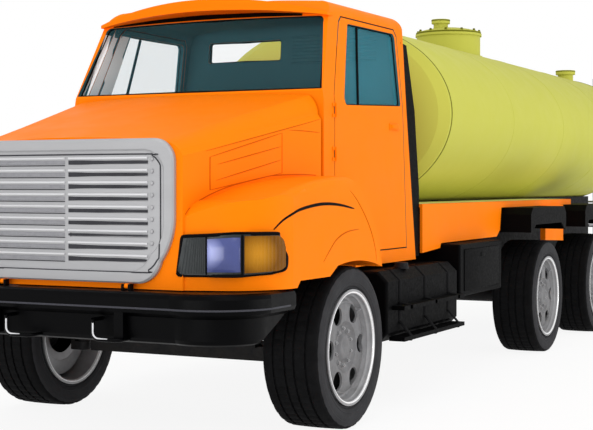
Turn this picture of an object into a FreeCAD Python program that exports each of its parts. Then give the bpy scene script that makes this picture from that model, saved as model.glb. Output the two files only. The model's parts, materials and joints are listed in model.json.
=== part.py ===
import FreeCAD, Part
import math
import os
import Sketcher

# Tanker truck: long-nosed cab, three axles on six wide single tyres, oval tank.
# +Z is up, the front faces -Y and the truck's own left is +X. Sizes in millimetres.

SIZES = {
    # running gear
    "tyre_dia": 1000, "tyre_wide": 380, "rim_dia": 690, "wheel_x": 1030,
    "axle_y": -3753.5, "base_one": 4300, "bogie": 1830, "kingpin_x": 780,
    "hub_rad": 130, "spindle_rad": 38, "run_gap": 1, "hand_holes": 6,
    # frame
    "rail_x": 430, "rail_low": 640, "rail_high": 890, "rail_wide": 80, "rail_web": 14,
    "frame_front": -1180, "frame_rear": 8640,
    # front end
    "bumper_nose": 1390, "bumper_low": 628, "bumper_top": 912, "bumper_half": 1225,
    "bumper_wall": 12, "bumper_valance": 172, "bumper_set": 62, "hood_nose": 1240, "hood_low": 918, "hood_rear": 118,
    "hood_front_half": 757, "hood_half": 946, "hood_high": 2090, "hood_front_high": 1766,
    "hood_wall": 14, "fender_half": 1228, "fender_low": 956, "fender_crown": 1552,
    "arch_top": 1030, "hinge_y": -1290, "hinge_z": 936,
    "grille_half": 715, "grille_high": 1754, "grille_low": 950, "grille_rim": 68,
    "grille_deep": 32, "slot_count": 9, "slot_top": 1622, "slot_pitch": 68,
    # cab
    "cab_front": 140, "cab_rear": 1535, "cab_foot": 185, "cab_lean": 50, "cab_low": 1020, "cab_sill": 950,
    "cab_half": 955, "roof_half": 862, "roof_rear_half": 905, "visor_half": 886, "belt": 2040, "eaves": 2625, "roof_high": 2745,
    "cab_wall": 46, "door_front": 300, "door_rear": 1470, "door_low": 1040,
    "door_gap": 9, "glass_thick": 6, "cowl_high": 2092, "screen_top": 2612,
    "screen_set": 250, "screen_low_half": 938, "screen_top_half": 844, "barrel_rad": 9,
    # tank
    "tank_half": 1050, "tank_up": 744, "tank_mid": 2043, "tank_front": 2200,
    "tank_rear": 8600, "head_deep": 260, "dome_y": 5030, "dome_rad": 310,
    "dome_top": 2975, "lid_high": 60, "cap_rad": 90, "cradle_wide": 150,
    # side and rear
    "skirt_x": 975, "skirt_wall": 20, "skirt_front": 1805, "skirt_over": 1660,
    "skirt_top": 1353, "guard_top": 1300, "guard_wall": 10,
    "fuel_front": 710, "fuel_rear": 2080, "box_rear": 3230,
    "outlet_bore": 50, "outlet_pcd": 180, "outlet_holes": 8, "hook_rad": 11,
}

doc = FreeCAD.newDocument("tanker_truck")
sheet = doc.addObject("Spreadsheet::Sheet", "Sizes")
for row, (word, number) in enumerate(SIZES.items(), start=1):
    sheet.set("A%d" % row, word)
    sheet.set("B%d" % row, str(number))
    sheet.setAlias("B%d" % row, word)
doc.recompute()


class Size:
    """A number together with the sheet expression that gives it."""

    def __init__(self, value, text):
        self.value = float(value)
        self.text = text

    def __float__(self):
        return self.value

    def __add__(self, other):
        other = size(other)
        return Size(self.value + other.value, "(%s + %s)" % (self.text, other.text))

    def __sub__(self, other):
        other = size(other)
        return Size(self.value - other.value, "(%s - %s)" % (self.text, other.text))

    def __mul__(self, other):
        other = size(other)
        return Size(self.value * other.value, "(%s * %s)" % (self.text, other.text))

    def __truediv__(self, other):
        other = size(other)
        return Size(self.value / other.value, "(%s / %s)" % (self.text, other.text))

    def __neg__(self):
        return Size(-self.value, "(0 - %s)" % self.text)

    __radd__ = __add__
    __rmul__ = __mul__

    def __rsub__(self, other):
        return size(other) - self


def size(item):
    if isinstance(item, Size):
        return item
    return Size(item, "(%.6g)" % item if item < 0 else "%.6g" % item)


class Sizes:
    def __getattr__(self, word):
        if word not in SIZES:
            raise AttributeError(word)
        return Size(float(sheet.get(word)), "Sizes." + word)


d = Sizes()
V = FreeCAD.Vector
PARTS = {}


def bind(obj, prop, item):
    obj.setExpression(prop, size(item).text)


def keep(node, obj):
    """Names the finished sub-part: its Label is its node name."""
    obj.Label = node
    PARTS[node] = obj
    return obj


def from_axle(y):
    """A station along the truck, measured back from the front axle."""
    return d.axle_y + y


def box(name, x0, x1, y0, y1, z0, z1):
    o = doc.addObject("Part::Box", name)
    lows = (x0, y0, z0)
    spans = (size(x1) - x0, size(y1) - y0, size(z1) - z0)
    for prop, item in zip(("Length", "Width", "Height"), spans):
        bind(o, prop, item)
    for prop, item in zip("xyz", lows):
        bind(o, "Placement.Base." + prop, item)
    return o


TURN = {
    "x": FreeCAD.Rotation(V(0, 1, 0), 90),
    "y": FreeCAD.Rotation(V(1, 0, 0), -90),
    "z": FreeCAD.Rotation(),
}


def place(o, x, y, z, axis="z"):
    o.Placement = FreeCAD.Placement(V(0, 0, 0), TURN[axis])
    for prop, item in zip("xyz", (x, y, z)):
        bind(o, "Placement.Base." + prop, item)
    return o


def rod(name, rad, length, x, y, z, axis="z"):
    """A cylinder that starts at x, y, z and runs along +axis."""
    o = doc.addObject("Part::Cylinder", name)
    bind(o, "Radius", rad)
    bind(o, "Height", length)
    return place(o, x, y, z, axis)


def cone(name, rad1, rad2, length, x, y, z, axis="z"):
    o = doc.addObject("Part::Cone", name)
    bind(o, "Radius1", rad1)
    bind(o, "Radius2", rad2)
    bind(o, "Height", length)
    return place(o, x, y, z, axis)


def fuse(name, *items):
    o = doc.addObject("Part::MultiFuse", name)
    o.Shapes = list(items)
    o.Refine = True
    return o


def cut(name, base, *tools):
    o = doc.addObject("Part::Cut", name)
    o.Base = base
    o.Tool = tools[0] if len(tools) == 1 else fuse(name + "_tools", *tools)
    o.Refine = True
    return o


def common(name, *items):
    o = doc.addObject("Part::MultiCommon", name)
    o.Shapes = list(items)
    return o


def group(name, *items):
    """Several solids of one node that don't touch."""
    o = doc.addObject("Part::Compound", name)
    o.Links = list(items)
    return o


def mirror(name, item):
    """The same piece on the truck's other side."""
    o = doc.addObject("Part::Mirroring", name)
    o.Source = item
    o.Normal = V(1, 0, 0)
    o.Base = V(0, 0, 0)
    return o


def fillet(name, base, pick, rad):
    """Rounds the edges of base that pick(edge) accepts."""
    doc.recompute()
    o = doc.addObject("Part::Fillet", name)
    o.Base = base
    r = float(rad)
    o.Edges = [(i + 1, r, r) for i, e in enumerate(base.Shape.Edges) if pick(e)]
    return o


def plane_of(body, role):
    for feature in body.Origin.OriginFeatures:
        if feature.Role == role:
            return feature
    raise ValueError(role)


def new_body(name):
    return doc.addObject("PartDesign::Body", name)


def new_sketch(body, name, role, lift=None):
    s = body.newObject("Sketcher::SketchObject", name)
    s.AttachmentSupport = [(plane_of(body, role), "")]
    s.MapMode = "FlatFace"
    if lift is not None:
        bind(s, "AttachmentOffset.Base.z", lift)
    return s


def at(sketch, geo, end, x, y):
    """Ties one end of a sketch line to the sheet."""
    for axis, item, kind in ((-2, size(x), "DistanceX"), (-1, size(y), "DistanceY")):
        if item.value == 0 and item.text == "0":
            sketch.addConstraint(Sketcher.Constraint("PointOnObject", geo, end, axis))
            continue
        c = Sketcher.Constraint(kind, -1, 1, geo, end, item.value)
        n = sketch.addConstraint(c)
        sketch.setExpression("Constraints[%d]" % n, item.text)


def outline(sketch, points):
    """A closed polygon whose corners are held by the sheet."""
    spots = [(size(x), size(y)) for x, y in points]
    first = sketch.GeometryCount
    count = len(spots)
    for i, (x, y) in enumerate(spots):
        nx, ny = spots[(i + 1) % count]
        line = Part.LineSegment(V(x.value, y.value, 0), V(nx.value, ny.value, 0))
        sketch.addGeometry(line, False)
    for i in range(count):
        nxt = first + (i + 1) % count
        sketch.addConstraint(Sketcher.Constraint("Coincident", first + i, 2, nxt, 1))
    for i, (x, y) in enumerate(spots):
        at(sketch, first + i, 1, x, y)
    return sketch


def ring(sketch, x, y, rad):
    """A full circle whose centre and radius are held by the sheet."""
    x, y, rad = size(x), size(y), size(rad)
    circle = Part.Circle(V(x.value, y.value, 0), V(0, 0, 1), rad.value)
    geo = sketch.addGeometry(circle, False)
    at(sketch, geo, 3, x, y)
    n = sketch.addConstraint(Sketcher.Constraint("Radius", geo, rad.value))
    sketch.setExpression("Constraints[%d]" % n, rad.text)
    return sketch


def pad(body, name, sketch, length, middle=False, back=False):
    o = body.newObject("PartDesign::Pad", name)
    o.Profile = sketch
    bind(o, "Length", length)
    o.Midplane = middle
    o.Reversed = back
    return o


def pocket(body, name, sketch, length, middle=False, back=False):
    o = body.newObject("PartDesign::Pocket", name)
    o.Profile = sketch
    bind(o, "Length", length)
    o.Midplane = middle
    o.Reversed = back
    return o


def spin(body, name, sketch, kind="PartDesign::Revolution", axis="V_Axis"):
    o = body.newObject(kind, name)
    o.Profile = sketch
    o.ReferenceAxis = (sketch, [axis])
    o.Angle = 360
    return o


def polar(body, name, feature, sketch, count):
    o = body.newObject("PartDesign::PolarPattern", name)
    o.Originals = [feature]
    o.Axis = (sketch, ["N_Axis"])
    o.Angle = 360
    bind(o, "Occurrences", count)
    body.Tip = o
    return o


def free(name, shape):
    """A feature whose shape comes from Part's own functions."""
    o = doc.addObject("Part::Feature", name)
    o.Shape = shape
    return o


def wire(points, lift, plane):
    """A closed wire of lines, and of arcs where a point is marked as a way point."""
    def put(p):
        a, b = float(p[0]), float(p[1])
        if plane == "yz":
            return V(lift, a, b)
        if plane == "xz":
            return V(a, lift, b)
        return V(a, b, lift)
    edges = []
    spots = list(points) + [points[0]]
    i = 0
    while i < len(spots) - 1:
        nxt = spots[i + 1]
        if len(nxt) > 2:
            arc = Part.Arc(put(spots[i]), put(nxt), put(spots[i + 2]))
            edges.append(arc.toShape())
            i += 2
        else:
            edges.append(Part.makeLine(put(spots[i]), put(nxt)))
            i += 1
    return Part.Wire(edges)


def prism(points, low, high, plane):
    """A solid of one outline, swept straight from low to high across its plane."""
    low, high = float(low), float(high)
    span = {"yz": V(1, 0, 0), "xz": V(0, 1, 0), "xy": V(0, 0, 1)}[plane] * (high - low)
    return Part.Face(wire(points, low, plane)).extrude(span)


def tapered(outline_of, steps, plane):
    """A solid through several sizes of one outline, each at its own height."""
    return Part.makeLoft([wire(outline_of(g), float(at_), plane) for g, at_ in steps],
                         True, True)


WAY = "way"

# ---------------------------------------------------------------- wheels
# One rim and one tyre are drawn lying on their side, then stood up at each hub.

half = d.tyre_wide / 2
base_two = d.base_one + d.bogie
rim_rad = d.rim_dia / 2
rim_body = new_body("rim_body")
s = new_sketch(rim_body, "rim_section", "XZ_Plane")
# right half of the wheel's section: radius across, distance outward up
well = rim_rad - 26
seat = rim_rad - 14
lip = rim_rad + 14
pin_hole = d.spindle_rad + d.run_gap
outline(s, [
    (pin_hole, -half * 0.10),
    (d.hub_rad, -half * 0.10),
    (rim_rad * 0.64, half * 0.12),
    (rim_rad * 0.80, half * 0.40),
    (well, half * 0.40),
    (well, -half * 0.98),
    (lip, -half * 0.98),
    (seat, -half * 0.86),
    (seat, half * 0.86),
    (lip, half * 0.90),
    (lip, half * 0.98),
    (well, half * 0.98),
    (well, half * 0.54),
    (rim_rad * 0.79, half * 0.54),
    (rim_rad * 0.60, half * 0.26),
    (d.hub_rad, half * 0.24),
    (d.hub_rad - 16, half * 0.50),
    (d.hub_rad * 0.55, half * 0.56),
    (d.hub_rad * 0.42, half * 0.78),
    (0, half * 0.82),
    (0, half * 0.30),
    (pin_hole, half * 0.30),
])
spin(rim_body, "rim_turned", s)
s = new_sketch(rim_body, "hand_hole", "XY_Plane")
ring(s, rim_rad * 0.66, 0, rim_rad * 0.15)
holes = pocket(rim_body, "hand_hole_cut", s, d.tyre_wide, back=True)
doc.recompute()
polar(rim_body, "hand_hole_ring", holes, s, d.hand_holes)

tyre_body = new_body("tyre_body")
s = new_sketch(tyre_body, "tyre_section", "XZ_Plane")
crown = d.tyre_dia / 2
outline(s, [
    (seat, -half * 0.84), (lip, -half * 0.885), (lip + 26, -half * 0.985),
    (crown - 56, -half), (crown - 12, -half * 0.88), (crown, -half * 0.66),
    (crown, half * 0.66), (crown - 12, half * 0.88), (crown - 56, half),
    (lip + 26, half * 0.985), (lip, half * 0.885), (seat, half * 0.84),
])
spin(tyre_body, "tyre_turned", s)
doc.recompute()

HUBS = (
    ("front_left", 1, 0), ("front_right", -1, 0),
    ("mid_left", 1, d.base_one), ("mid_right", -1, d.base_one),
    ("rear_left", 1, base_two), ("rear_right", -1, base_two),
)
for word, side, back in HUBS:
    for kind, source in (("rim", rim_body), ("tyre", tyre_body)):
        o = group(kind + "_at_" + word, source)
        turn = FreeCAD.Rotation(V(0, 1, 0), 90 * side)
        o.Placement = FreeCAD.Placement(V(0, 0, 0), turn)
        bind(o, "Placement.Base.x", d.wheel_x * side)
        bind(o, "Placement.Base.y", from_axle(back))
        bind(o, "Placement.Base.z", d.tyre_dia / 2)
        keep(kind + "_" + word, o)

axle_z = d.tyre_dia / 2

# ---------------------------------------------------------------- frame
# A ladder frame: two channels that face inward, and tubes between them.


def channel(name, side):
    inner = d.rail_x - d.rail_wide / 2
    outer = d.rail_x + d.rail_wide / 2
    body = new_body(name)
    sk = new_sketch(body, name + "_section", "XZ_Plane", -from_axle(d.frame_rear))
    web = outer - d.rail_web
    points = [
        (inner, d.rail_low), (outer, d.rail_low), (outer, d.rail_high),
        (inner, d.rail_high), (inner, d.rail_high - d.rail_web),
        (web, d.rail_high - d.rail_web), (web, d.rail_low + d.rail_web),
        (inner, d.rail_low + d.rail_web),
    ]
    outline(sk, [(x * side, z) for x, z in points])
    pad(body, name + "_length", sk, d.frame_rear - d.frame_front)
    return body


rails = [channel("rail_left", 1), channel("rail_right", -1)]
mid_z = (d.rail_low + d.rail_high) / 2
CROSS = (-1060, 1070, 2150, 3300, 5215, 7100, 8480)
tubes = []
for n, y in enumerate(CROSS):
    span = d.rail_x * 2 + d.rail_wide - d.rail_web
    tubes.append(rod("cross_%d" % n, 58, span, -span / 2, from_axle(y), mid_z, "x"))
frame = fuse("frame_body", *(rails + tubes))
keep("frame", frame)
doc.recompute()

# ---------------------------------------------------------------- front axle and steering
spring_half = 38
beam_z = axle_z - 60
pad_x = d.rail_x + 86
beam = box("axle_beam", -(d.kingpin_x - 90), d.kingpin_x - 90, from_axle(-45), from_axle(45),
           beam_z - 55, beam_z + 35)
boss = rod("pin_boss", 37, 120, d.kingpin_x, from_axle(0), axle_z - 60)
pin = rod("king_pin", 20, 240, d.kingpin_x, from_axle(0), axle_z - 120)
arm = box("axle_arm", d.kingpin_x - 130, d.kingpin_x - 8, from_axle(-34), from_axle(34),
          axle_z - 54, axle_z + 30)
seat_l = box("spring_seat", pad_x - 60, pad_x + 60, from_axle(-70), from_axle(70),
             beam_z + 30, beam_z + 60)
axle_side = fuse("axle_side", boss, pin, arm, seat_l)
front_axle = fuse("front_axle_body", beam, axle_side, mirror("axle_side_right", axle_side))
keep("front_axle", front_axle)

# the knuckle: a fork round the king pin, the spindle, and the arm for the tie rod
def knuckle(side):
    word = "left" if side > 0 else "right"
    clear = d.run_gap
    fork_x = d.kingpin_x
    blocks = []
    for n, z in enumerate((axle_z - 118, axle_z + 62)):
        eye = rod("eye_%s_%d" % (word, n), 44, 56, fork_x, from_axle(0), z)
        blocks.append(eye)
    yoke = box("yoke_" + word, fork_x + 40, fork_x + 74, from_axle(-44), from_axle(44),
               axle_z - 118, axle_z + 118)
    low = box("yoke_low_" + word, fork_x, fork_x + 50, from_axle(-44), from_axle(44),
              axle_z - 118, axle_z - 62)
    high = box("yoke_high_" + word, fork_x, fork_x + 50, from_axle(-44), from_axle(44),
               axle_z + 62, axle_z + 118)
    spindle = rod("spindle_" + word, d.spindle_rad, d.wheel_x - fork_x - 60 + half * 0.28,
                  fork_x + 60, from_axle(0), axle_z, "x")
    steer = box("steer_arm_" + word, fork_x - 30, fork_x + 30, from_axle(30), from_axle(210),
                axle_z - 116, axle_z - 90)
    ball = rod("ball_" + word, 17, 64, fork_x, from_axle(190), axle_z - 116)
    body = fuse("knuckle_all_" + word, yoke, low, high, spindle, steer, ball, *blocks)
    bore = rod("pin_bore_" + word, 20 + clear, 300, fork_x, from_axle(0), axle_z - 150)
    done = cut("knuckle_cut_" + word, body, bore)
    if side < 0:
        done = mirror("knuckle_mirror", done)
    return keep("knuckle_" + word, done)


knuckle(1)
knuckle(-1)
rod_z = axle_z - 66
tie_x = d.kingpin_x
tie = rod("tie_bar", 14, tie_x * 2 - 60, -(tie_x - 30), from_axle(190), rod_z, "x")
ends = [tie]
for side in (1, -1):
    eye = rod("tie_eye_%d" % (side + 1), 34, 24, tie_x * side, from_axle(190), rod_z - 12)
    ends.append(eye)
tie_rod = fuse("tie_all", *ends)
bores = [rod("tie_bore_%d" % (s + 1), 17 + (1 if s > 0 else 6), 60, tie_x * s,
             from_axle(190), rod_z - 30) for s in (1, -1)]
keep("tie_rod", cut("tie_cut", tie_rod, *bores))

# ---------------------------------------------------------------- springs
# Each spring is a stack of leaves, long at the top and short at the bottom.


def leaves(name, y, length, count, z_top, thick=16):
    stack = []
    for n in range(count):
        reach = length * (1 - 0.16 * n) / 2
        low = z_top - thick * (n + 1)
        stack.append(box("%s_leaf_%d" % (name, n), pad_x - spring_half, pad_x + spring_half,
                         from_axle(y) - reach, from_axle(y) + reach, low, low + thick))
    return fuse(name, *stack)


front_stack = beam_z + 60 + 16 * 4
fs = leaves("front_spring", 0, size(1100), 4, front_stack)
rear_stack = axle_z + 100 + 22 * 4
rs1 = leaves("mid_spring", d.base_one, size(1180), 4, rear_stack, 22)
rs2 = leaves("rear_spring", base_two, size(1180), 4, rear_stack, 22)
hangers = []
rail_out = d.rail_x + d.rail_wide / 2
for n, (y, z) in enumerate(((-540, front_stack), (540, front_stack))):
    hangers.append(box("front_hanger_%d" % n, rail_out, pad_x + 20, from_axle(y - 40),
                       from_axle(y + 40), z, d.rail_low + 30))
for n, y in enumerate((d.base_one - 560, d.base_one + 560, base_two - 560,
                       base_two + 560)):
    hangers.append(box("rear_hanger_%d" % n, rail_out, pad_x + 20, from_axle(y) - 40,
                       from_axle(y) + 40, rear_stack, d.rail_low + 90))
left_springs = [fuse("front_set", fs, hangers[0], hangers[1]),
                fuse("mid_set", rs1, hangers[2], hangers[3]),
                fuse("rear_set", rs2, hangers[4], hangers[5])]
right_springs = [mirror("right_set_%d" % n, o) for n, o in enumerate(left_springs)]
keep("springs", group("springs_all", *(left_springs + right_springs)))

# ---------------------------------------------------------------- rear axles
drive = []
for n, back in enumerate((d.base_one, base_two)):
    reach = d.wheel_x + half * 0.28
    tube = rod("axle_tube_%d" % n, 70, (d.wheel_x - 210) * 2, -(d.wheel_x - 210),
               from_axle(back), axle_z, "x")
    stub = rod("axle_stub_%d" % n, d.spindle_rad, reach * 2, -reach, from_axle(back),
               axle_z, "x")
    bowl = rod("diff_bowl_%d" % n, 190, 260, -130, from_axle(back), axle_z, "x")
    nose = cone("diff_nose_%d" % n, 150, 70, 260, 0, from_axle(back) - 120, axle_z, "y")
    nose.Placement = FreeCAD.Placement(V(0, 0, 0), FreeCAD.Rotation(V(1, 0, 0), 90))
    blocks = []
    for side in (1, -1):
        lo = pad_x * side - 60
        blocks.append(box("axle_block_%d_%d" % (n, side + 1), lo, lo + 120,
                          from_axle(back) - 75, from_axle(back) + 75, axle_z + 20,
                          axle_z + 100))
    drive.append(fuse("drive_axle_%d" % n, tube, stub, bowl, nose, *blocks))
shaft_y = from_axle(980)
shaft_end = from_axle(d.base_one) - 380
shaft = rod("prop_shaft", 55, shaft_end - shaft_y, 0, shaft_y, axle_z, "y")
link = rod("inter_shaft", 50, base_two - d.base_one - 560, 0,
           from_axle(d.base_one) + 186, axle_z, "y")
keep("rear_axles", fuse("rear_axles_all", shaft, link, *drive))

# ---------------------------------------------------------------- engine
block = box("engine_core", -290, 290, from_axle(-840), from_axle(-60), 700, 1420)
sump = box("engine_sump", -200, 200, from_axle(-760), from_axle(-330), 600, 720)
bell = cone("gear_case", 250, 150, 760, 0, from_axle(-70), 760, "y")
tail = rod("gear_tail", 90, 300, 0, from_axle(680), 640, "y")
engine = fuse("engine_all", block, bell, tail)
core = box("radiator_core", -520, 520, from_axle(-1080), from_axle(-1010), 1010, 1620)
foot = box("radiator_foot", -d.rail_x - 40, d.rail_x + 40, from_axle(-1100), from_axle(-990), 890, 1010)
keep("engine", group("engine_group", engine, fuse("radiator", core, foot)))

# ---------------------------------------------------------------- bumper
# A pressed channel that wraps round both corners, with two hooks in front.


def bumper_plan(grow):
    nose = from_axle(-d.bumper_nose) + grow
    side = d.bumper_half - grow
    back = from_axle(-790)
    return [
        (0, nose), (760, nose), (1070, nose + 60, WAY), (side, nose + 300),
        (side, back), (-side, back), (-side, nose + 300), (-1070, nose + 60, WAY),
        (-760, nose),
    ]


def bumper_hollow(grow):
    side = d.bumper_half - grow
    plan = bumper_plan(grow)
    return plan[0:4] + [(side, from_axle(-700)), (-side, from_axle(-700))] + plan[6:]


def bumper_ends(grow):
    """What is cut away below both ends, clear of the wheels."""
    back, fore = from_axle(-620), from_axle(-760) - grow
    return prism([
        (back, b_low - 20), (fore - 400, b_low - 20 + grow), (fore - 140, roll_low - 66 + grow),
        (fore - 40, roll_low - 10 + grow), (fore, roll_low + 16 + grow),
        (back, roll_low + 16 + grow)], -(d.bumper_half + 5), d.bumper_half + 5, "yz")


# the skin is a rounded bar above a valance that stands back from it
b_low, b_top, b_wall = d.bumper_low, d.bumper_top, d.bumper_wall
roll_low, back_set = b_low + d.bumper_valance, d.bumper_set
skin = tapered(bumper_plan, (
    (back_set + 30, b_low), (back_set + 10, b_low + 10), (back_set, b_low + 30),
    (back_set - 8, roll_low - 24), (10, roll_low), (0, roll_low + 22), (0, b_top - 30),
    (9, b_top - 10), (30, b_top)), "xy")
hollow = tapered(bumper_hollow, (
    (back_set + 42, b_low + b_wall), (back_set + b_wall + 8, b_low + b_wall + 8),
    (back_set + b_wall, b_low + 44), (back_set - 8 + b_wall, roll_low - 17),
    (b_wall, roll_low + 13), (b_wall, b_top - 40), (b_wall + 7, b_top - 24),
    (b_wall + 24, b_top - b_wall)), "xy")
open_back = prism([
    (-(d.bumper_half - 125), from_axle(-700)), (-(d.bumper_half - 125), from_axle(-1000)),
    (-900, from_axle(-1215)), (900, from_axle(-1215)),
    (d.bumper_half - 125, from_axle(-1000)), (d.bumper_half - 125, from_axle(-700)),
], d.bumper_low - 1, d.bumper_top + 1, "xy")
bar = skin.cut(bumper_ends(0)).cut(hollow.cut(bumper_ends(b_wall))).cut(open_back)
bar = free("bumper_skin", bar)
horns = []
for side in (1, -1):
    lo = d.rail_x * side - 30
    horns.append(box("horn_%d" % (side + 1), lo, lo + 60, from_axle(-d.bumper_nose) + d.bumper_wall,
                     from_axle(d.frame_front), d.bumper_low + 22, d.rail_high - 30))
# the ears and pins that the hood tilts on
hinge_y = from_axle(d.hinge_y)
for side in (1, -1):
    for n, off in enumerate((-30, 14)):
        lo = d.rail_x * side + off
        horns.append(box("hood_ear_%d_%d" % (side + 1, n), lo, lo + 16, hinge_y - 17,
                         hinge_y + 17, d.bumper_top - 10, d.hinge_z + 12))
    horns.append(rod("hood_pin_%d" % (side + 1), 7, 60, d.rail_x * side - 30, hinge_y,
                     d.hinge_z, "x"))
doc.recompute()

# ---------------------------------------------------------------- cab
# Outer and inner forms are each a side view and a front view in common.


def cab_form(inset):
    """The cab's solid form, drawn in by the wall's thickness."""
    g = inset
    front, rear = from_axle(d.cab_front) + g, from_axle(d.cab_rear) - g
    low, sill, rear_up = d.cab_low + g, d.cab_sill + g, rear + d.cab_lean
    top = from_axle(d.cab_front + d.screen_set)
    side = [
        (front, low), (from_axle(590) + g, low), (from_axle(640) + g, sill),
        (rear + d.cab_foot, sill), (rear, d.belt), (rear_up, d.eaves - g),
        (rear_up - 22, d.roof_high - 55 - g, WAY), (rear_up - 100, d.roof_high - 12 - g),
        (from_axle(1150), d.roof_high - g), (top + 110, d.roof_high - 10 - g),
        (top + g * 1.1, d.screen_top - g * 0.3 + 10),
        (from_axle(d.cab_front) + g * 1.1, d.cowl_high),
    ]
    half_low = d.cab_half - g

    def face(half_top):
        return [
            (-half_low, d.cab_sill - 60), (half_low, d.cab_sill - 60), (half_low, d.belt),
            (half_top, d.eaves - g), (half_top - 26, d.eaves + 52 - g, WAY),
            (half_top - 110, d.eaves + 86 - g),
            (0, d.roof_high - g, WAY), (-(half_top - 110), d.eaves + 86 - g),
            (-(half_top - 26), d.eaves + 52 - g, WAY), (-half_top, d.eaves - g),
            (-half_low, d.belt),
        ]

    one = prism(side, -d.cab_half - 10, d.cab_half + 10, "yz")
    ends = ((d.roof_half, from_axle(0)),
            (d.roof_rear_half, from_axle(d.cab_rear + d.cab_foot) + 10))
    two = Part.makeLoft([wire(face(w - g), float(y), "xz") for w, y in ends], True, True)
    return one.common(two)


def door_outline(gap):
    """The door's edge in side view, drawn in by the gap round it."""
    g = gap
    fore, aft = from_axle(d.door_front) + g, from_axle(d.door_rear) - g
    return [
        (fore, d.belt + 30 + g * 0.4), (fore, 1510 + g), (fore + 100, 1450 + g),
        (fore + 260, 1368 + g), (fore + 390, 1275 + g), (fore + 480, d.door_low + g),
        (aft + 75, d.door_low + g), (aft, d.belt - g * 0.2), (aft, d.eaves - 60 - g),
        (aft - 45, d.eaves - 12 - g), (fore + 260, d.eaves - 12 - g),
        (fore + 215, d.eaves - 50 - g),
    ]


def window_outline(grow):
    """The door glass in side view."""
    g = size(grow)
    fore, aft = from_axle(d.door_front + 163) - g, from_axle(d.door_rear - 40) + g
    low = d.belt - 21 - g
    return [
        (fore + 46, low), (aft - 30, low + 38), (aft - 6, low + 46, WAY),
        (aft, low + 70), (aft, d.eaves - 90 + g), (aft - 12, d.eaves - 62 + g, WAY),
        (aft - 40, d.eaves - 48 + g), (fore + 210, d.eaves - 54 + g),
        (fore + 192, d.eaves - 60 + g, WAY), (fore + 182, d.eaves - 78 + g),
        (fore, low + 50), (fore + 10, low + 12, WAY),
    ]


def screen_outline(grow):
    """The windscreen in front view."""
    g = size(grow)
    foot, head = d.screen_low_half + g, d.screen_top_half + g
    low, high = d.cowl_high + 14 - g, d.screen_top - 14 + g
    return [
        (-foot, low), (foot, low), (head + 5, high - 46), (head - 6, high - 12, WAY),
        (head - 40, high), (0, high + 14, WAY), (-(head - 40), high),
        (-(head - 6), high - 12, WAY), (-(head + 5), high - 46),
    ]


def rear_outline(side):
    """One of the two rear windows in front view."""
    near, far = 60 * side, 690 * side
    low, high = d.eaves - 190, d.eaves - 30
    return [
        (near + 22 * side, low), (far - 22 * side, low), (far - 6 * side, low + 6, WAY),
        (far, low + 22), (far, high - 22), (far - 6 * side, high - 6, WAY),
        (far - 22 * side, high), (near + 22 * side, high), (near + 6 * side, high - 6, WAY),
        (near, high - 22), (near, low + 22), (near + 6 * side, low + 6, WAY),
    ]


outer_form = cab_form(size(0))
inner_form = cab_form(d.cab_wall)
pane_in = (d.cab_wall - d.glass_thick) / 2
pane_layer = cab_form(pane_in).cut(cab_form(pane_in + d.glass_thick))
wall_layer = outer_form.cut(inner_form)
side_cut = [prism(door_outline(size(0)), side * (d.cab_half - 200), side * (d.cab_half + 50),
                  "yz") for side in (1, -1)]
screen_foot, screen_head = from_axle(d.cab_front), from_axle(d.cab_front + d.screen_set)
screen_band = prism([
    (screen_foot - 40, d.cowl_high - 20), (screen_foot + 60, d.cowl_high - 20),
    (screen_head + 130, d.roof_high), (screen_head - 60, d.roof_high)],
    -d.cab_half, d.cab_half, "yz")
screen_cut = prism(screen_outline(0), from_axle(-40), from_axle(700), "xz").common(screen_band)
rear_cut = [prism(rear_outline(side), from_axle(d.cab_rear - 150),
                  from_axle(d.cab_rear + d.cab_lean) + 30, "xz") for side in (1, -1)]
tunnel = prism([(-330, 900), (330, 900), (330, 1180), (-330, 1180)],
               from_axle(-10), from_axle(700), "xz")
tunnel_skin = prism([(-360, d.cab_sill), (360, d.cab_sill), (360, 1210), (-360, 1210)],
                    from_axle(d.cab_front), from_axle(730), "xz")
hinge_x, leaf_y = d.cab_half + d.barrel_rad, from_axle(d.door_front) + d.door_gap / 2
BARRELS = (1650, 1930)


def hinge_parts(side, z):
    """One hinge of a door: the lugs and pin on the cab, and the barrel on the door."""
    x, y, r = float(hinge_x), float(leaf_y), float(d.barrel_rad)
    up = V(0, 0, 1)
    fixed, moving = [], []
    for low_z, high_z, bag, reach in ((z, z + 22, fixed, -38), (z + 24, z + 66, moving, 42),
                                      (z + 68, z + 90, fixed, -38)):
        bag.append(Part.makeCylinder(r, high_z - low_z, V(x, y, low_z), up))
        flap = Part.makeBox(r - 1, abs(reach), high_z - low_z,
                            V(x - r - 2, min(y, y + reach), low_z))
        bag.append(flap)
    fixed.append(Part.makeCylinder(r * 0.5, 90, V(x, y, z), up))
    bore = Part.makeCylinder(r * 0.5 + 0.6, 92, V(x, y, z - 1), up)
    leaf = moving[0].fuse(moving[1]).cut(bore)
    post = fixed[0].fuse(fixed[1:])
    if side < 0:
        leaf, post = (o.mirror(V(0, 0, 0), V(1, 0, 0)) for o in (leaf, post))
    return leaf, post


shell = wall_layer.fuse(tunnel_skin.common(outer_form)).cut(tunnel)
for tool in side_cut + [screen_cut] + rear_cut:
    shell = shell.cut(tool)
HINGES = {side: [hinge_parts(side, z) for z in BARRELS] for side in (1, -1)}
shell = shell.fuse([post for pairs in HINGES.values() for leaf, post in pairs])
keep("cab_shell", free("cab_shell_form", shell.removeSplitter()))
keep("windshield", free("windshield_form", pane_layer.common(screen_cut)))
keep("rear_window", free("rear_window_form",
                         Part.makeCompound([pane_layer.common(o) for o in rear_cut])))

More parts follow.
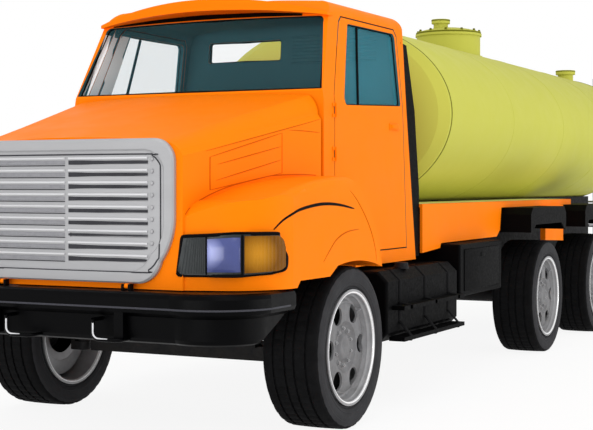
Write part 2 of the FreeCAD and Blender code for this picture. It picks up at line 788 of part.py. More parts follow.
for side, word in ((1, "left"), (-1, "right")):
    reach = [side * (d.cab_half - 190), side * (d.cab_half + 40)]
    leaf = wall_layer.common(prism(door_outline(d.door_gap), reach[0], reach[1], "yz"))
    opening = prism(window_outline(0), reach[0], reach[1], "yz")
    leaf = leaf.cut(opening).fuse([barrel for barrel, post in HINGES[side]])
    keep("door_" + word, free("door_form_" + word, leaf))
    keep("door_glass_" + word, free("door_glass_form_" + word, pane_layer.common(opening)))

# panels that stand behind the cab's two rear corners
extender = prism([
    (from_axle(d.cab_rear) - 6, d.eaves - 95),
    (from_axle(d.cab_rear + d.cab_lean) + 62, d.eaves - 110),
    (from_axle(d.cab_rear + 172), d.belt), (from_axle(d.skirt_front - 8), 1470),
    (from_axle(d.skirt_front - 10), d.cab_sill + 20),
    (from_axle(d.cab_rear + d.cab_foot) - 10, d.cab_sill + 20),
    (from_axle(d.cab_rear) - 6, d.belt)], d.roof_rear_half - 40, d.cab_half - 4, "yz")
taper = prism([
    (d.cab_half - 30, d.cab_sill), (d.cab_half - 4, d.cab_sill), (d.cab_half - 4, d.belt),
    (d.roof_rear_half - 4, d.eaves), (d.roof_rear_half - 30, d.eaves),
    (d.cab_half - 30, d.belt)],
    from_axle(d.cab_rear - 50), from_axle(d.skirt_front), "xz")
panel = extender.common(taper).cut(outer_form)
keep("cab_extenders", free("extender_form", Part.makeCompound(
    [panel, panel.mirror(V(0, 0, 0), V(1, 0, 0))])))

# visor: a thin lip that stands out over the windscreen, swept back at both ends
visor_end = d.visor_half
brow = from_axle(d.cab_front + d.screen_set)
visor_plan = [
    (-visor_end, brow + 30), (-(visor_end - 4), brow - 40), (0, brow - 170, WAY),
    (visor_end - 4, brow - 40), (visor_end, brow + 30), (0, brow + 150),
]
visor_face = [
    (-visor_end, d.eaves - 28), (0, d.screen_top + 44, WAY), (visor_end, d.eaves - 28),
    (visor_end, d.eaves - 8), (0, d.roof_high - 12, WAY), (-visor_end, d.eaves - 8),
]
visor = prism(visor_plan, d.screen_top - 200, d.roof_high + 100, "xy").common(
    prism(visor_face, brow - 300, brow + 200, "xz"))
visor = visor.cut(outer_form)
visor = max(visor.Solids, key=lambda o: o.Volume)
keep("sun_visor", free("visor_form", visor))

# inside: dashboard and wheel, two seats, and the driver's shade folded down
dash_y = from_axle(d.cab_front) + d.cab_wall * 1.1 + 1
dash_section = [
    (dash_y, 1640), (dash_y + 330, 1640), (dash_y + 380, 1760), (dash_y + 330, 1930),
    (dash_y + 150, 2010), (dash_y, 2020),
]
dash = prism(dash_section, -(d.cab_half - d.cab_wall - 30), d.cab_half - d.cab_wall - 30, "yz")
keep("dashboard", free("dash_form", dash))
wheel_hub = V(430, float(dash_y) + 520, 1890)
tilt = FreeCAD.Rotation(V(1, 0, 0), -40)
axis = tilt.multVec(V(0, 0, 1))
rim_ring = Part.makeTorus(215, 17, wheel_hub, axis)
hub_disc = Part.makeCylinder(55, 40, wheel_hub - axis * 20, axis)
spokes = []
for turn in (90, 210, 330):
    spoke = Part.makeBox(205, 26, 14, V(20, -13, -7))
    spoke.rotate(V(0, 0, 0), V(0, 0, 1), turn)
    spoke.Placement = FreeCAD.Placement(wheel_hub, tilt).multiply(spoke.Placement)
    spokes.append(spoke)
column = Part.makeCylinder(28, 330, wheel_hub, axis * -1)
steering = rim_ring.fuse([hub_disc, column] + spokes)
keep("steering_wheel", free("steering_form", steering.cut(dash)))
seat_y = from_axle(d.cab_rear - 725)
floor_z = d.cab_sill + d.cab_wall
seats = []
for side in (1, -1):
    lo = 430 * side - 240
    base = box("seat_base_%d" % (side + 1), lo + 60, lo + 420, seat_y + 60, seat_y + 420,
               floor_z, 1330)
    cushion = box("seat_cushion_%d" % (side + 1), lo, lo + 480, seat_y, seat_y + 500,
                  1330, 1450)
    back_rest = box("seat_back_%d" % (side + 1), lo, lo + 480, seat_y + 470, seat_y + 590,
                    1440, 2070)
    seats.append(fuse("seat_%d" % (side + 1), base, cushion, back_rest))
keep("seats", group("seats_all", *seats))

# ---------------------------------------------------------------- hood and fenders
# One moulding: a lofted hood between two rounded fenders, hollow from below.


def hood_section(y, half_w, shoulder, ins, ins_z, top, low, g):
    """A closed section across the hood at one station, with a crease at the shoulder."""
    g = float(g)
    w, sh = float(half_w) - g, float(shoulder) - g * 0.6
    a_x, a_z = float(ins) - g * 0.7, float(ins_z) - g
    y, tp, lo = float(y), float(top) - g, float(low)
    right = [V(w, y, lo), V(w, y, sh), V(w - 22, y, sh + 34), V(a_x, y, a_z)]
    left = [V(-p.x, y, p.z) for p in right]
    bulge = V((w - 22 + a_x) / 2 + 12, y, (sh + 34 + a_z) / 2 + 12)
    other = V(-bulge.x, y, bulge.z)
    return Part.Wire([
        Part.makeLine(left[0], right[0]), Part.makeLine(right[0], right[1]),
        Part.makeLine(right[1], right[2]), Part.Arc(right[2], bulge, right[3]).toShape(),
        Part.Arc(right[3], V(0, y, tp), left[3]).toShape(),
        Part.Arc(left[3], other, left[2]).toShape(),
        Part.makeLine(left[2], left[1]), Part.makeLine(left[1], left[0])])


def hood_form(g, low):
    nose = from_axle(-d.hood_nose) + g
    rear = from_axle(d.hood_rear) + (1 if g else 0)
    front_z, rear_z = d.hood_front_high, d.hood_high
    front = hood_section(nose, d.hood_front_half, front_z - 112, d.hood_front_half - 150,
                         front_z - 24, front_z, low, g)
    back = hood_section(rear, d.hood_half, rear_z - 182, d.hood_half - 84, rear_z - 26,
                        rear_z, low, g)
    return Part.makeLoft([front, back], True, True)


def fender_form(g, low):
    """Both fenders: the side view cut by the plan view."""
    g = float(g)
    y0 = float(d.axle_y)
    nose = y0 - float(d.hood_nose) + g
    top = float(d.fender_crown) - g
    low = float(low)
    front_low = min(low, float(d.hood_low))
    side = [
        (nose + 12, front_low), (nose, 1250), (nose + 58, 1368, WAY), (y0 - 1050, 1412 - g),
        (y0 - 760, top - 68), (y0 - 400, top - 20, WAY), (y0 - 90, top - 2),
        (y0 + 190 - g, top - 150, WAY), (y0 + 330 - g, top - 316),
        (y0 + 400 - g, top - 440), (y0 + 442 - g, low), (y0 - 740, low),
        (y0 - 780, front_low),
    ]
    w = float(d.fender_half) - g
    plan = [
        (-w, y0 + 480), (-w, y0 - 830), (-(w - 90), y0 - 1030 + g, WAY),
        (-(w - 330), y0 - 1178 + g), (-700, nose), (700, nose), (w - 330, y0 - 1178 + g),
        (w - 90, y0 - 1030 + g, WAY), (w, y0 - 830), (w, y0 + 480),
    ]
    one = prism(side, -w - 20, w + 20, "yz")
    two = prism(plan, front_low - 5, top + 40, "xy")
    form = one.common(two)
    return form.makeFillet(max(46 - g, 12), [e for e in form.Edges if crown_edge(e, w)])


def crown_edge(e, w):
    """The fender's upper outer edge, from above the lamp to the rear of the arch."""
    b = e.BoundBox
    away = max(abs(b.XMin), abs(b.XMax))
    return away > w - 1 and b.XLength < 1 and b.ZMin > 1300 and b.YLength > 150


low = d.hood_low
hood_out = hood_form(0, low)
fend_out = fender_form(0, d.fender_low)
hood_solid = hood_out.fuse(fend_out)
wall = float(d.hood_wall)
inside_hood = hood_form(wall, low - 20)
inside_fend = fender_form(wall, d.fender_low - 60)
inner = inside_hood.fuse(inside_fend)
arch = prism([
    (from_axle(-346), 900), (from_axle(-346), 957), (from_axle(-236), d.arch_top - 16),
    (from_axle(60), d.arch_top, WAY), (from_axle(330), d.arch_top - 30),
    (from_axle(470), 966), (from_axle(480), 900)], -(d.fender_half + 10),
    d.fender_half + 10, "yz")
cab_room = prism([
    (-(d.cab_half + 12), from_axle(d.hood_rear)), (d.cab_half + 12, from_axle(d.hood_rear)),
    (d.cab_half + 12, from_axle(900)), (-(d.cab_half + 12), from_axle(900))],
    0, d.roof_high, "xy")
hood_shell = hood_solid.cut(inner).cut(arch).cut(cab_room)
grille_cut = prism([
    (-(d.grille_half - 90), d.grille_low + 120), (d.grille_half - 90, d.grille_low + 120),
    (d.grille_half - 90, d.grille_high - 100), (-(d.grille_half - 90), d.grille_high - 100)],
    from_axle(-d.hood_nose) - 10, from_axle(-d.hood_nose) + 60, "xz")
hood_shell = hood_shell.cut(grille_cut)

# the headlights take their outer face from the fender's own form
lamp_layer = fender_form(-22, d.fender_low).cut(fender_form(wall + 2, d.fender_low - 60))
lamp_end = prism([
    (from_axle(-d.hood_nose) - 50, 980), (from_axle(-900), 980), (from_axle(-908), 1045),
    (from_axle(-932), 1150), (from_axle(-955), 1208, WAY), (from_axle(-1000), 1240),
    (from_axle(-d.hood_nose) - 50, 1240)], -(d.fender_half + 50), d.fender_half + 50, "yz")
lamps = []
for side in (1, -1):
    face = [
        (side * (d.grille_half + 14), 1006), (side * (d.fender_half - 200), 998),
        (side * (d.fender_half - 60), 1014), (side * (d.fender_half + 40), 1044),
        (side * (d.fender_half + 40), 1236), (side * (d.grille_half + 50), 1218)]
    block_ = prism(face, from_axle(-d.hood_nose) - 40, from_axle(-860), "xz")
    block_ = block_.common(lamp_end)
    lamps.append(lamp_layer.common(block_))
hood_shell = hood_shell.cut(lamps[0].fuse(lamps[1]))

# eyes under the hood's nose, which turn on the bumper's pins
eyes = []
for side in (1, -1):
    x, y, z = float(d.rail_x) * side, float(hinge_y), float(d.hinge_z)
    eye = Part.makeCylinder(14, 26, V(x - 13, y, z), V(1, 0, 0))
    tongue = Part.makeBox(26, float(from_axle(-d.hood_nose)) + 10 - y, 20, V(x - 13, y, z - 10))
    eyes.append(eye.fuse(tongue).cut(Part.makeCylinder(8, 30, V(x - 15, y, z), V(1, 0, 0))))
hood_shell = hood_shell.fuse(eyes)
keep("hood", free("hood_form", hood_shell))
keep("headlights", free("lamp_form", Part.makeCompound(lamps)))

# ---------------------------------------------------------------- grille
# A raised rim with round corners, and a plate pressed with two banks of slots.
g_half, g_top, g_low = d.grille_half, d.grille_high, d.grille_low
grille_back = from_axle(-d.hood_nose)


def grille_outline(g):
    """The grille's edge in front view: round shoulders and a drawn-in foot."""
    g = size(g)
    h = g_half - g
    return [
        (-(h - 135), g_top - g), (h - 135, g_top - g), (h - 38, g_top - 40 - g, WAY),
        (h, g_top - 130 - g * 0.6), (h, g_low + 360), (h - 24, g_low + 232, WAY),
        (h - 84, g_low + 122 + g * 0.6), (h - 128, g_low + 44 + g * 0.9, WAY),
        (h - 220, g_low + g), (-(h - 220), g_low + g),
        (-(h - 128), g_low + 44 + g * 0.9, WAY), (-(h - 84), g_low + 122 + g * 0.6),
        (-(h - 24), g_low + 232, WAY), (-h, g_low + 360), (-h, g_top - 130 - g * 0.6),
        (-(h - 38), g_top - 40 - g, WAY),
    ]


face_y, edge_in = grille_back - d.grille_deep, 9
rim = tapered(grille_outline, ((0, grille_back), (0, face_y + edge_in), (edge_in, face_y)), "xz")
rim = rim.cut(tapered(grille_outline, (
    (d.grille_rim, grille_back + 1), (d.grille_rim, face_y + edge_in),
    (d.grille_rim - edge_in, face_y), (d.grille_rim - edge_in - 1, face_y - 1)), "xz"))
plate = prism(grille_outline(d.grille_rim - 6), grille_back - 20, grille_back, "xz")
inner_edge = g_half - d.grille_rim
slots = []
for n in range(SIZES["slot_count"]):
    z = d.slot_top - d.slot_pitch * n
    far = inner_edge - 100 if n < SIZES["slot_count"] - 2 else inner_edge - 118
    for lo, hi in ((22, far), (-far, -22)):
        slots.append(prism([(lo, z - 11), (hi, z - 11), (hi, z + 11), (lo, z + 11)],
                           grille_back - 40, grille_back - 7, "xz"))
for cutter in slots:
    plate = plate.cut(cutter)
keep("grille", free("grille_form", rim.fuse(plate)))
doc.recompute()

# ---------------------------------------------------------------- tank
# An oval shell with dished ends; it is turned as a round tank, then drawn to an oval.
tank_len = float(d.tank_rear - d.tank_front)
head = float(d.head_deep)
half_w, half_h = float(d.tank_half), float(d.tank_up)
edges = [
    Part.Arc(V(0, -head, 0), V(half_h * 0.55, -head * 0.80, 0),
             V(half_h * 0.93, -head * 0.26, 0)).toShape(),
    Part.makeLine(V(half_h * 0.93, -head * 0.26, 0), V(half_h, 0, 0)),
    Part.makeLine(V(half_h, 0, 0), V(half_h, tank_len, 0)),
    Part.makeLine(V(half_h, tank_len, 0), V(half_h * 0.93, tank_len + head * 0.26, 0)),
    Part.Arc(V(half_h * 0.93, tank_len + head * 0.26, 0),
             V(half_h * 0.55, tank_len + head * 0.80, 0),
             V(0, tank_len + head, 0)).toShape(),
    Part.makeLine(V(0, tank_len + head, 0), V(0, -head, 0)),
]
turned = Part.Face(Part.Wire(edges)).revolve(V(0, 0, 0), V(0, 1, 0), 360)
stretch = FreeCAD.Matrix()
stretch.A11 = half_w / half_h
tank_solid = turned.transformGeometry(stretch)
tank_solid.translate(V(0, float(from_axle(d.tank_front)), float(d.tank_mid)))
keep("tank", free("tank_form", tank_solid))

# cradle: cross saddles between two long sills, cut to the tank's own form
sill_top = d.tank_mid - 300
saddles = []
base = d.rail_high
for n in range(6):
    y = from_axle(d.tank_front) + 160 + (d.tank_rear - d.tank_front - 600) * (n / 5)
    saddles.append(box("saddle_%d" % n, -d.rail_x, d.rail_x,
                       y - d.cradle_wide / 2, y + d.cradle_wide / 2, base + 90, sill_top - 240))
sills = [box("sill_%d" % (s_ + 1), s_ * d.rail_x - 45, s_ * d.rail_x + 45,
             from_axle(d.tank_front) - 60, from_axle(d.tank_rear) + 20, base, base + 470)
         for s_ in (1, -1)]
cradle = fuse("cradle_all", *(saddles + sills))
tank_tool = doc.addObject("Part::Feature", "tank_tool")
tank_tool.Shape = tank_solid.copy()
keep("tank_cradle", cut("cradle_cut", cradle, tank_tool))

# dome with its hinged lid, and the two small caps
dome_y = from_axle(d.dome_y)
dome_base = d.tank_mid + d.tank_up - 90
dome = rod("dome_neck", d.dome_rad, d.dome_top - dome_base, 0, dome_y, dome_base)
dome_rim = rod("dome_rim", d.dome_rad + 14, 22, 0, dome_y, d.dome_top - 22)
hinge_ears = []
for n, x in enumerate((-72, 72)):
    hinge_ears.append(box("dome_ear_%d" % n, x - 16, x + 16, dome_y + d.dome_rad + 20,
                          dome_y + d.dome_rad + 60, d.dome_top - 46, d.dome_top + 26))
    hinge_ears.append(box("dome_ear_foot_%d" % n, x - 16, x + 16, dome_y + d.dome_rad - 14,
                          dome_y + d.dome_rad + 60, d.dome_top - 46, d.dome_top - 6))
ear_bore = rod("dome_ear_bore", 9, 220, -110, dome_y + d.dome_rad + 40, d.dome_top + 8, "x")
manhole = rod("manhole", d.dome_rad - 34, 400, 0, dome_y, dome_base)
neck_body = cut("dome_cut", fuse("dome_all", dome, dome_rim, *hinge_ears), tank_tool,
                ear_bore, manhole)
far_cap_z = d.tank_mid + d.tank_up * 0.935
far_x, far_y = 350, from_axle(8050)
far_neck = rod("far_neck", 88, 90, far_x, far_y, far_cap_z - 40)
far_cap = rod("far_cap", 112, 48, far_x, far_y, far_cap_z + 50)
far_fit = cut("far_cut", fuse("far_all", far_neck, far_cap), tank_tool)
keep("dome", group("dome_group", neck_body, far_fit))

lid_z = d.dome_top + 1
cap_profile = Part.Face(Part.Wire([
    Part.makeLine(V(0, 0, 0), V(float(d.dome_rad) + 8, 0, 0)),
    Part.makeLine(V(float(d.dome_rad) + 8, 0, 0), V(float(d.dome_rad) + 8, 0, 18)),
    Part.Arc(V(float(d.dome_rad) + 8, 0, 18), V(float(d.dome_rad) * 0.55, 0, 54),
             V(0, 0, 66)).toShape(),
    Part.makeLine(V(0, 0, 66), V(0, 0, 0)),
])).revolve(V(0, 0, 0), V(0, 0, 1), 360)
cap_profile.translate(V(0, float(dome_y), float(lid_z)))
lid_disc = free("lid_disc", cap_profile)
vent_neck = rod("vent_neck", d.cap_rad * 0.78, 90, -40, dome_y - 110, lid_z + 10)
vent_cap = rod("vent_cap", d.cap_rad, 40, -40, dome_y - 110, lid_z + 98)
tongue = box("lid_tongue", -50, 50, dome_y + d.dome_rad - 30, dome_y + d.dome_rad + 56,
             lid_z, lid_z + 18)
lid_pin = rod("lid_pin", 8, 184, -92, dome_y + d.dome_rad + 40, d.dome_top + 8, "x")
keep("dome_lid", fuse("lid_all", lid_disc, vent_neck, vent_cap, tongue, lid_pin))

# ---------------------------------------------------------------- side skirts and guards
# Orange valances under the tank, and flat-topped guards over the rear wheels.
guard_in, guard_out = d.wheel_x - 200, d.bumper_half
gap_wheel = d.tyre_dia / 2 + 60


def skirt(side):
    """A side panel with a ledge along its top, and the piece between the rear guards."""
    lo, hi = d.skirt_x - d.skirt_wall, d.skirt_x
    fore, aft = from_axle(d.skirt_front), from_axle(d.base_one + d.skirt_over)
    one = prism([
        (fore, d.skirt_top), (fore, 992), (from_axle(2180), 1014), (from_axle(2200), 1050),
        (from_axle(3560), 1054), (from_axle(3650), 1110), (from_axle(3690), d.guard_top),
        (aft, d.guard_top), (aft, d.skirt_top)], lo, hi, "yz")
    ledge = prism([
        (fore, d.skirt_top - 24), (aft, d.skirt_top - 24), (aft, d.skirt_top),
        (fore, d.skirt_top)], d.rail_x + 45, hi, "yz")
    first, last = from_axle(d.base_one) + gap_wheel + 44, from_axle(base_two) - gap_wheel - 44
    mid = prism([(first, d.guard_top), (first, 975), (last, 950), (last, d.guard_top)],
                hi - 10, hi + 40, "yz")
    one = one.fuse([ledge, mid])
    return one if side > 0 else one.mirror(V(0, 0, 0), V(1, 0, 0))


both = Part.makeCompound([skirt(1), skirt(-1)])
keep("side_skirts", free("skirt_form", both))

guards = []
for back in (d.base_one, base_two):
    mid_y = from_axle(back)
    lo, hi = mid_y - gap_wheel, mid_y + gap_wheel
    w = d.guard_wall
    crown_line = [
        (lo, 1085), (lo, d.guard_top - 60), (lo + 60, d.guard_top),
        (hi - 60, d.guard_top), (hi, d.guard_top - 60), (hi, 1085)]
    shell_ = prism(crown_line + [
        (hi - w, 1085), (hi - w, d.guard_top - 64), (hi - 64, d.guard_top - w),
        (lo + 64, d.guard_top - w), (lo + w, d.guard_top - 64), (lo + w, 1085)],
        guard_in, guard_out, "yz")
    lip_ = prism(crown_line + [(hi - 40, 1085), (hi - 150, 1150), (lo + 150, 1150),
                               (lo + 40, 1085)], guard_out - w, guard_out, "yz")
    arm_x = float(d.rail_x) + 45
    arm_ = Part.makeCylinder(18, float(guard_out) - 40 - arm_x,
                             V(arm_x, float(mid_y), float(d.guard_top) - 26), V(1, 0, 0))
    one = shell_.fuse([lip_, arm_]).removeSplitter()
    guards += [one, one.mirror(V(0, 0, 0), V(1, 0, 0))]
keep("mudguards", free("guard_form", Part.makeCompound(guards)))

# ---------------------------------------------------------------- fuel tanks and boxes
def fuel(side):
    """A tank with two steps let into its outer face, and its bracket."""
    lo, hi = 660, 1150
    fore, aft = float(from_axle(d.fuel_front)), float(from_axle(d.fuel_rear))
    sec = [
        (lo + 60, 448), (hi - 60, 448), (hi, 510), (hi, 850), (hi - 70, 920),
        (lo + 60, 920), (lo, 860), (lo, 510)]
    body = prism(sec, fore, aft, "xz")
    body = body.makeFillet(22, [e for e in body.Edges if e.BoundBox.YLength < 1])
    steps = [Part.makeBox(112, aft - fore - 180, 28, V(hi - 24, fore + 90, z))
             for z in (452, 660)]
    hang = Part.makeBox(685 - float(rail_out), aft - fore - 460, 60,
                        V(float(rail_out), fore + 220, 800))
    body = body.fuse(steps + [hang])
    return body if side > 0 else body.mirror(V(0, 0, 0), V(1, 0, 0))


keep("fuel_tanks", free("fuel_form", Part.makeCompound([fuel(1), fuel(-1)])))


def side_box(side):
    y0 = float(from_axle(d.fuel_rear)) + 130
    y1 = float(from_axle(d.box_rear))
    body = Part.makeBox(425, y1 - y0, 402, V(700, y0, 640))
    body = body.makeFillet(18, [e for e in body.Edges])
    hang = Part.makeBox(720 - float(rail_out), y1 - y0 - 350, 60,
                        V(float(rail_out), y0 + 180, 780))
    body = body.fuse(hang)
    return body if side > 0 else body.mirror(V(0, 0, 0), V(1, 0, 0))


keep("side_boxes", free("side_box_form", Part.makeCompound([side_box(1), side_box(-1)])))

# ---------------------------------------------------------------- rear end
tail_y = from_axle(d.frame_rear)
beam_ = box("rear_beam", -1180, 1180, tail_y + 40, tail_y + 150, 520, 660)
legs = [box("rear_leg_%d" % (s_ + 1), s_ * d.rail_x - 50, s_ * d.rail_x + 50, tail_y,
            tail_y + 60, 560, d.rail_high) for s_ in (1, -1)]
panel = box("lamp_panel", -1000, 1000, tail_y, tail_y + 40, 700, 860)
keep("rear_bumper", fuse("rear_all", beam_, panel, *legs))

lamps_rear = []
for s_ in (1, -1):
    for n, x in enumerate((900, 760)):
        lamps_rear.append(rod("tail_lamp_%d_%d" % (s_ + 1, n), 52, 30, s_ * x, tail_y + 40,
                              780, "y"))
keep("tail_lamps", group("tail_group", *lamps_rear))

out_y = tail_y
pipe = rod("outlet_pipe", 57, 420, 0, out_y - 180, 1130, "y")
flange = rod("outlet_flange", 115, 22, 0, out_y + 218, 1130, "y")
riser = rod("outlet_riser", 57, 400, 0, out_y - 180, 1130)
elbow = Part.makeSphere(57, V(0, float(out_y) - 180, 1130))
elbow = free("outlet_elbow", elbow)
outlet = fuse("outlet_all", pipe, flange, riser, elbow)
tools = [rod("outlet_hole", d.outlet_bore, 380, 0, out_y - 130, 1130, "y"),
         rod("outlet_end", d.outlet_bore + 2, 24, 0, out_y - 154, 1130, "y")]
for n in range(SIZES["outlet_holes"]):
    turn = 2 * math.pi * (n + 0.5) / SIZES["outlet_holes"]
    px, pz = d.outlet_pcd / 2 * math.cos(turn), d.outlet_pcd / 2 * math.sin(turn)
    tools.append(rod("outlet_bolt_%d" % n, 9, 60, px, out_y + 200, pz + 1130, "y"))
tank_tool2 = doc.addObject("Part::Feature", "tank_tool_two")
tank_tool2.Shape = tank_solid.copy()
keep("outlet", cut("outlet_cut", outlet, tank_tool2, *tools))

# ladder on the rear head
ladder = []
lad_y = from_axle(d.tank_rear) + d.head_deep + 60
for s_ in (1, -1):
    ladder.append(rod("ladder_rail_%d" % (s_ + 1), 16, 1900, 300 + s_ * 170, lad_y, 900))
for n in range(6):
    ladder.append(rod("ladder_rung_%d" % n, 12, 340, 300 - 170, lad_y, size(990) + n * 300, "x"))
for n, z in enumerate((1000, 2050)):
    for s_ in (1, -1):
        ladder.append(box("ladder_foot_%d_%d" % (n, s_ + 1), 300 + s_ * 170 - 12,
                          300 + s_ * 170 + 12, tail_y if n == 0 else lad_y - 330, lad_y, z, z + 24))
keep("ladder", cut("ladder_cut", fuse("ladder_all", *ladder), tank_tool))

# ---------------------------------------------------------------- tow hooks
def hook(x):
    """A bar let into the valance at both ends, bent down and then back."""
    face = float(from_axle(-d.bumper_nose) + d.bumper_set)
    out, r = face - 92, float(d.hook_rad)
    high, low_, w, bend = float(d.bumper_low) + 128, float(d.bumper_low) + 20, 85, 42
    k = bend * (1 - math.sqrt(0.5))
    path = Part.Wire([
        Part.makeLine(V(x - w, face + 2, high), V(x - w, out, high)),
        Part.makeLine(V(x - w, out, high), V(x - w, out, low_ + bend)),
        Part.Arc(V(x - w, out, low_ + bend), V(x - w + k, out, low_ + k),
                 V(x - w + bend, out, low_)).toShape(),
        Part.makeLine(V(x - w + bend, out, low_), V(x + w - bend, out, low_)),
        Part.Arc(V(x + w - bend, out, low_), V(x + w - k, out + k, low_),
                 V(x + w, out + bend, low_)).toShape(),
        Part.makeLine(V(x + w, out + bend, low_), V(x + w, face + 12, low_)),
    ])
    ring_ = Part.Wire([Part.makeCircle(r, V(x - w, face + 2, high), V(0, -1, 0))])
    return path.makePipeShell([ring_], True, False, 2)


hooks = [hook(-220), hook(375)]
hook_objs = [free("hook_%d" % n, o) for n, o in enumerate(hooks)]
keep("front_bumper", fuse("bumper_all", bar, *(horns + hook_objs)))

# ---------------------------------------------------------------- write
doc.recompute()
faults = []
for obj in doc.Objects:
    if "Invalid" in obj.State or "Error" in obj.State:
        faults.append("%s %s" % (obj.Name, obj.State))
shapes = {}
for node, obj in PARTS.items():
    shape = Part.getShape(obj)
    if shape.isNull() or not shape.isValid() or not shape.Solids:
        faults.append("%s shape" % node)
    shapes[node] = shape
if faults:
    raise RuntimeError("; ".join(faults))
os.makedirs("parts", exist_ok=True)
for node, shape in shapes.items():
    shape.exportStep("parts/%s.step" % node)
print("nodes", len(shapes))
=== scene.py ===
import bpy
import bmesh
import json
import math
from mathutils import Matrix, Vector
from mathutils.bvhtree import BVHTree


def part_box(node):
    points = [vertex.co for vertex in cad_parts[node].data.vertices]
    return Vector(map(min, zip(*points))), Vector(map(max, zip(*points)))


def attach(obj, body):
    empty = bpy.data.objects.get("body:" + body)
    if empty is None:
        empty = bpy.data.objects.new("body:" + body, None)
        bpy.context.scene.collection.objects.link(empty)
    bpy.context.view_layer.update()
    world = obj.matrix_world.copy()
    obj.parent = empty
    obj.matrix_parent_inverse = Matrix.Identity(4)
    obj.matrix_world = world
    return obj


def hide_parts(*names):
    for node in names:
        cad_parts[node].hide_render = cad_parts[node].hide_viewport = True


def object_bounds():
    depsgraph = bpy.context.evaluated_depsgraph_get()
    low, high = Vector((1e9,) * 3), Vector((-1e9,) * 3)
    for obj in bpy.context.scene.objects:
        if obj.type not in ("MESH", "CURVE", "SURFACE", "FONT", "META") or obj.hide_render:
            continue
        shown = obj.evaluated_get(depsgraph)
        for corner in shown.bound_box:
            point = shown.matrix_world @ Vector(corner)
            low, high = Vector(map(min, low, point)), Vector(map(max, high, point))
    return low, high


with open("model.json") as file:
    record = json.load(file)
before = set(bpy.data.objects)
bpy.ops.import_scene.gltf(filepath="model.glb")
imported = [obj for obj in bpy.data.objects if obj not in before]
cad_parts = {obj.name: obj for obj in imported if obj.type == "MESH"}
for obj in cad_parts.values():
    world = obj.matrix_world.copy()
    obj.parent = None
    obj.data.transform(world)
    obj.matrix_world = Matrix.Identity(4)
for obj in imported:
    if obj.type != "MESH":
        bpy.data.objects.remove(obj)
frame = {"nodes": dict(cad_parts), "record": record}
cad_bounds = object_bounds()

scene = bpy.context.scene
SIGN = {"left": 1, "right": -1}
UP, DOWN, FORWARD, REARWARD, ACROSS = (0, 0, 1), (0, 0, -1), (0, -1, 0), (0, 1, 0), (1, 0, 0)


def lo(name):
    return Vector(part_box(name)[0])


def hi(name):
    return Vector(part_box(name)[1])


def mid(name):
    return (lo(name) + hi(name)) / 2


FA = mid("tyre_front_left").y          # the front axle's station


def Y(back):
    """A station along the truck, in metres behind the front axle."""
    return FA + back


def srgb(*c):
    out = []
    for v in c:
        v = v / 255
        out.append(v / 12.92 if v <= 0.04045 else ((v + 0.055) / 1.055) ** 2.4)
    return tuple(out) + (1.0,)


# ---- materials
def put(n, values):
    """Sets a node's inputs, each to a constant or to another node's output."""
    for key, v in values.items():
        if isinstance(v, bpy.types.NodeSocket):
            v.id_data.links.new(v, n.inputs[key])
        else:
            n.inputs[key].default_value = v
    return n


def add(nt, kind, values={}, **settings):
    n = nt.nodes.new("ShaderNode" + kind)
    for key, v in settings.items():
        setattr(n, key, v)
    return put(n, values)


def tree(name):
    m = bpy.data.materials.new(name)
    m.use_nodes = True
    return m, m.node_tree, m.node_tree.nodes["Principled BSDF"]


def place(nt):
    return add(nt, "TexCoord").outputs["Object"]


def noise(nt, scale, detail=4.0, rough=0.55, stretch=None):
    spot = place(nt)
    if stretch:
        spot = add(nt, "Mapping", {"Scale": stretch, "Vector": spot}).outputs["Vector"]
    return add(nt, "TexNoise", {"Scale": scale, "Detail": detail, "Roughness": rough,
                                "Vector": spot}).outputs["Fac"]


def ramp(nt, fac, low, high, a, b):
    return add(nt, "MapRange", {"From Min": low, "From Max": high, "To Min": a, "To Max": b,
                                "Value": fac}).outputs["Result"]


def calc(nt, operation, a, *b):
    return add(nt, "Math", dict(enumerate((a,) + b)), operation=operation).outputs[0]


def mixed(nt, fac, a, b):
    """A mix of two colours; 6 and 7 are the Mix node's colour inputs, and 2 its colour output."""
    return add(nt, "Mix", {0: fac, 6: a, 7: b}, data_type="RGBA").outputs[2]


def shade(c, k):
    return tuple(min(1.0, v * k) for v in c[:3]) + (1.0,)


def bump(nt, b, height, strength, depth):
    n = add(nt, "Bump", {"Strength": strength, "Distance": depth, "Height": height})
    put(b, {"Normal": n.outputs["Normal"]})


def make(name, rgb, rough, vary, scale, spread, relief=None, grime=None, stretch=None,
         metal=0.0, coat=0.0, spec=0.5, ior=1.5):
    """A surface whose colour, roughness and relief all vary as the real one's do."""
    m, nt, b = tree(name)
    rgb = srgb(*rgb)
    cloud = noise(nt, scale, 5.0, 0.6, stretch)
    c = mixed(nt, ramp(nt, cloud, 0.3, 0.7, 0.0, 1.0), shade(rgb, 1 - vary), shade(rgb, 1 + vary))
    if grime:
        level, low, high = grime
        height = add(nt, "SeparateXYZ", {0: place(nt)}).outputs["Z"]
        speck = ramp(nt, noise(nt, 11.0, 8.0, 0.7), 0.35, 0.75, 0.0, 1.0)
        c = mixed(nt, calc(nt, "MULTIPLY", ramp(nt, height, low, high, level, 0.0), speck), c, DUST)
    fine = noise(nt, scale * 7, 3.0, 0.5, stretch)
    put(b, {"Base Color": c, "Roughness": ramp(nt, fine, 0.3, 0.7, rough - spread, rough + spread),
            "Metallic": metal, "Specular IOR Level": spec, "IOR": ior})
    if coat:
        put(b, {"Coat Weight": coat, "Coat Roughness": 0.06})
    if relief:
        size, strength, depth = relief
        bump(nt, b, noise(nt, size, 2.0, 0.5, stretch), strength, depth)
    return m


